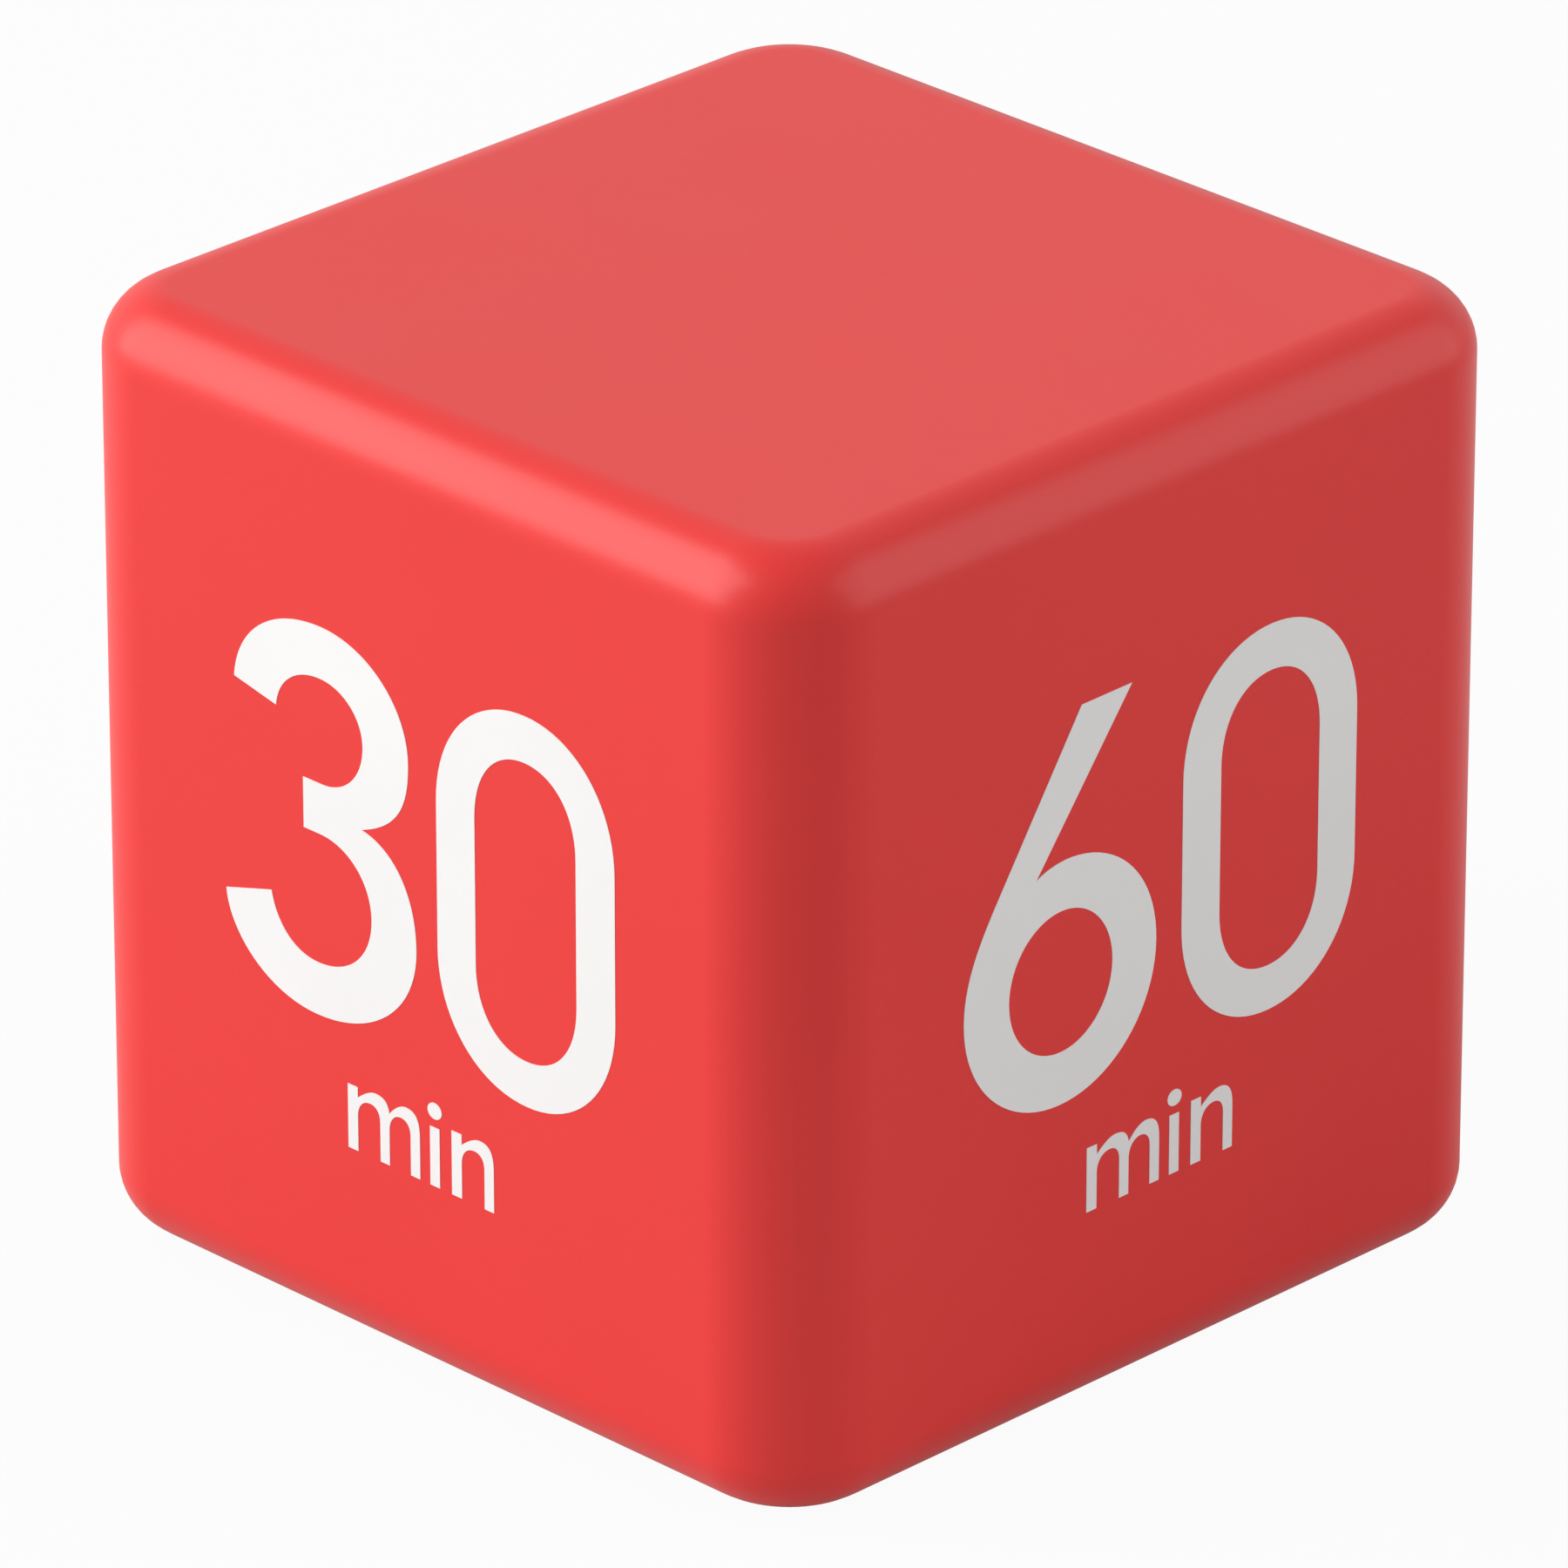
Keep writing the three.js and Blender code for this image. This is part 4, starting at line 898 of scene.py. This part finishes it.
spring_wire = mottled(
    "spring_wire", dark=(0.55, 0.56, 0.57), light=(0.65, 0.66, 0.67), gloss=(0.24, 0.34),
    patch=1500, grain=9000, relief=0.000003, metallic=1.0,
)
plate_x, cell_offset, cell_level = 0.0246, 0.0055, 0.0075
wire_half, coil_wide, coil_narrow, coil_length = 0.0003, 0.0031, 0.0021, 0.0039
coil_turns, coil_steps = 3.5, 140
for name, side in (("bridge_spring", 1), ("negative_spring", -1)):
    bpy.ops.object.select_all(action="DESELECT")
    bpy.ops.curve.primitive_nurbs_path_add()
    coil = bpy.context.object
    coil.name = f"{name}_coil"
    coil.data.splines.clear()
    line = coil.data.splines.new("POLY")
    line.points.add(coil_steps)
    for step, point in enumerate(line.points):
        share = step / coil_steps
        angle = 2 * math.pi * coil_turns * share
        radius = coil_wide + (coil_narrow - coil_wide) * share
        x = side * (plate_x - wire_half - share * coil_length)
        y = bay_y - side * cell_offset + radius * math.cos(angle)
        point.co = (x, y, cell_level + radius * math.sin(angle), 1)
    coil.data.dimensions = "3D"
    coil.data.bevel_depth = wire_half
    coil.data.bevel_resolution = 3
    coil.data.use_fill_caps = True
    bpy.ops.object.convert(target="MESH")
    coil = mended(bpy.context.object)
    bpy.ops.object.shade_smooth_by_angle(angle=math.radians(40))
    coat(coil, spring_wire)
    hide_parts(name)
    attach(coil, "case")


# Inner pieces, closed in by the shell: the circuit board and what it carries, the display's holder and
# strip, and the leads. Their CAD shapes stay, each in the finish of its real material.
holder_white = mottled(
    "holder_white", dark=(0.68, 0.68, 0.66), light=(0.74, 0.74, 0.72), gloss=(0.42, 0.54),
    patch=80, grain=3200, relief=0.000012,
)
strip_rubber = mottled(
    "strip_rubber", dark=(0.045, 0.045, 0.047), light=(0.07, 0.07, 0.072), gloss=(0.62, 0.76),
    patch=500, grain=5200, relief=0.00002,
)
board_green = mottled(
    "board_green", dark=(0.012, 0.085, 0.03), light=(0.018, 0.12, 0.042), gloss=(0.24, 0.36),
    patch=350, grain=2400, relief=0.00001,
)
chip_epoxy = mottled(
    "chip_epoxy", dark=(0.008, 0.008, 0.009), light=(0.014, 0.014, 0.015), gloss=(0.1, 0.2),
    patch=300, grain=1500, relief=0.00003,
)
piezo_brass = mottled(
    "piezo_brass", dark=(0.55, 0.37, 0.12), light=(0.66, 0.46, 0.17), gloss=(0.26, 0.38),
    patch=400, grain=7000, relief=0.000004, metallic=1.0,
)
lead_red = mottled(
    "lead_red", dark=(0.40, 0.016, 0.016), light=(0.47, 0.022, 0.02), gloss=(0.42, 0.52),
    patch=600, grain=5200, relief=0.00001,
)
lead_black = mottled(
    "lead_black", dark=(0.011, 0.011, 0.012), light=(0.018, 0.018, 0.019), gloss=(0.42, 0.52),
    patch=600, grain=5200, relief=0.00001,
)
finishes = {
    "display_holder": holder_white, "contact_strip": strip_rubber, "circuit_board": board_green,
    "chip_dome": chip_epoxy, "crystal_can": bare_nickel,
    "buzzer_case": black_satin, "piezo_disc": piezo_brass, "buzzer_base": black_satin,
    "switch_can": zinc_steel, "switch_base": black_satin, "switch_slider": black_satin,
    "battery_lead_red": lead_red, "battery_lead_black": lead_black,
}
for tag in ("x", "y"):
    finishes[f"tilt_can_{tag}"] = bare_nickel
    finishes[f"tilt_ball_{tag}"] = zinc_steel
    for end in ("a", "b"):
        finishes[f"tilt_plug_{tag}_{end}"] = black_satin
        finishes[f"tilt_pin_{tag}_{end}"] = bare_nickel
for number in range(1, 5):
    finishes[f"board_screw_{number}"] = zinc_steel
for name, finish in finishes.items():
    coat(nodes[name], finish)


bpy.context.view_layer.update()
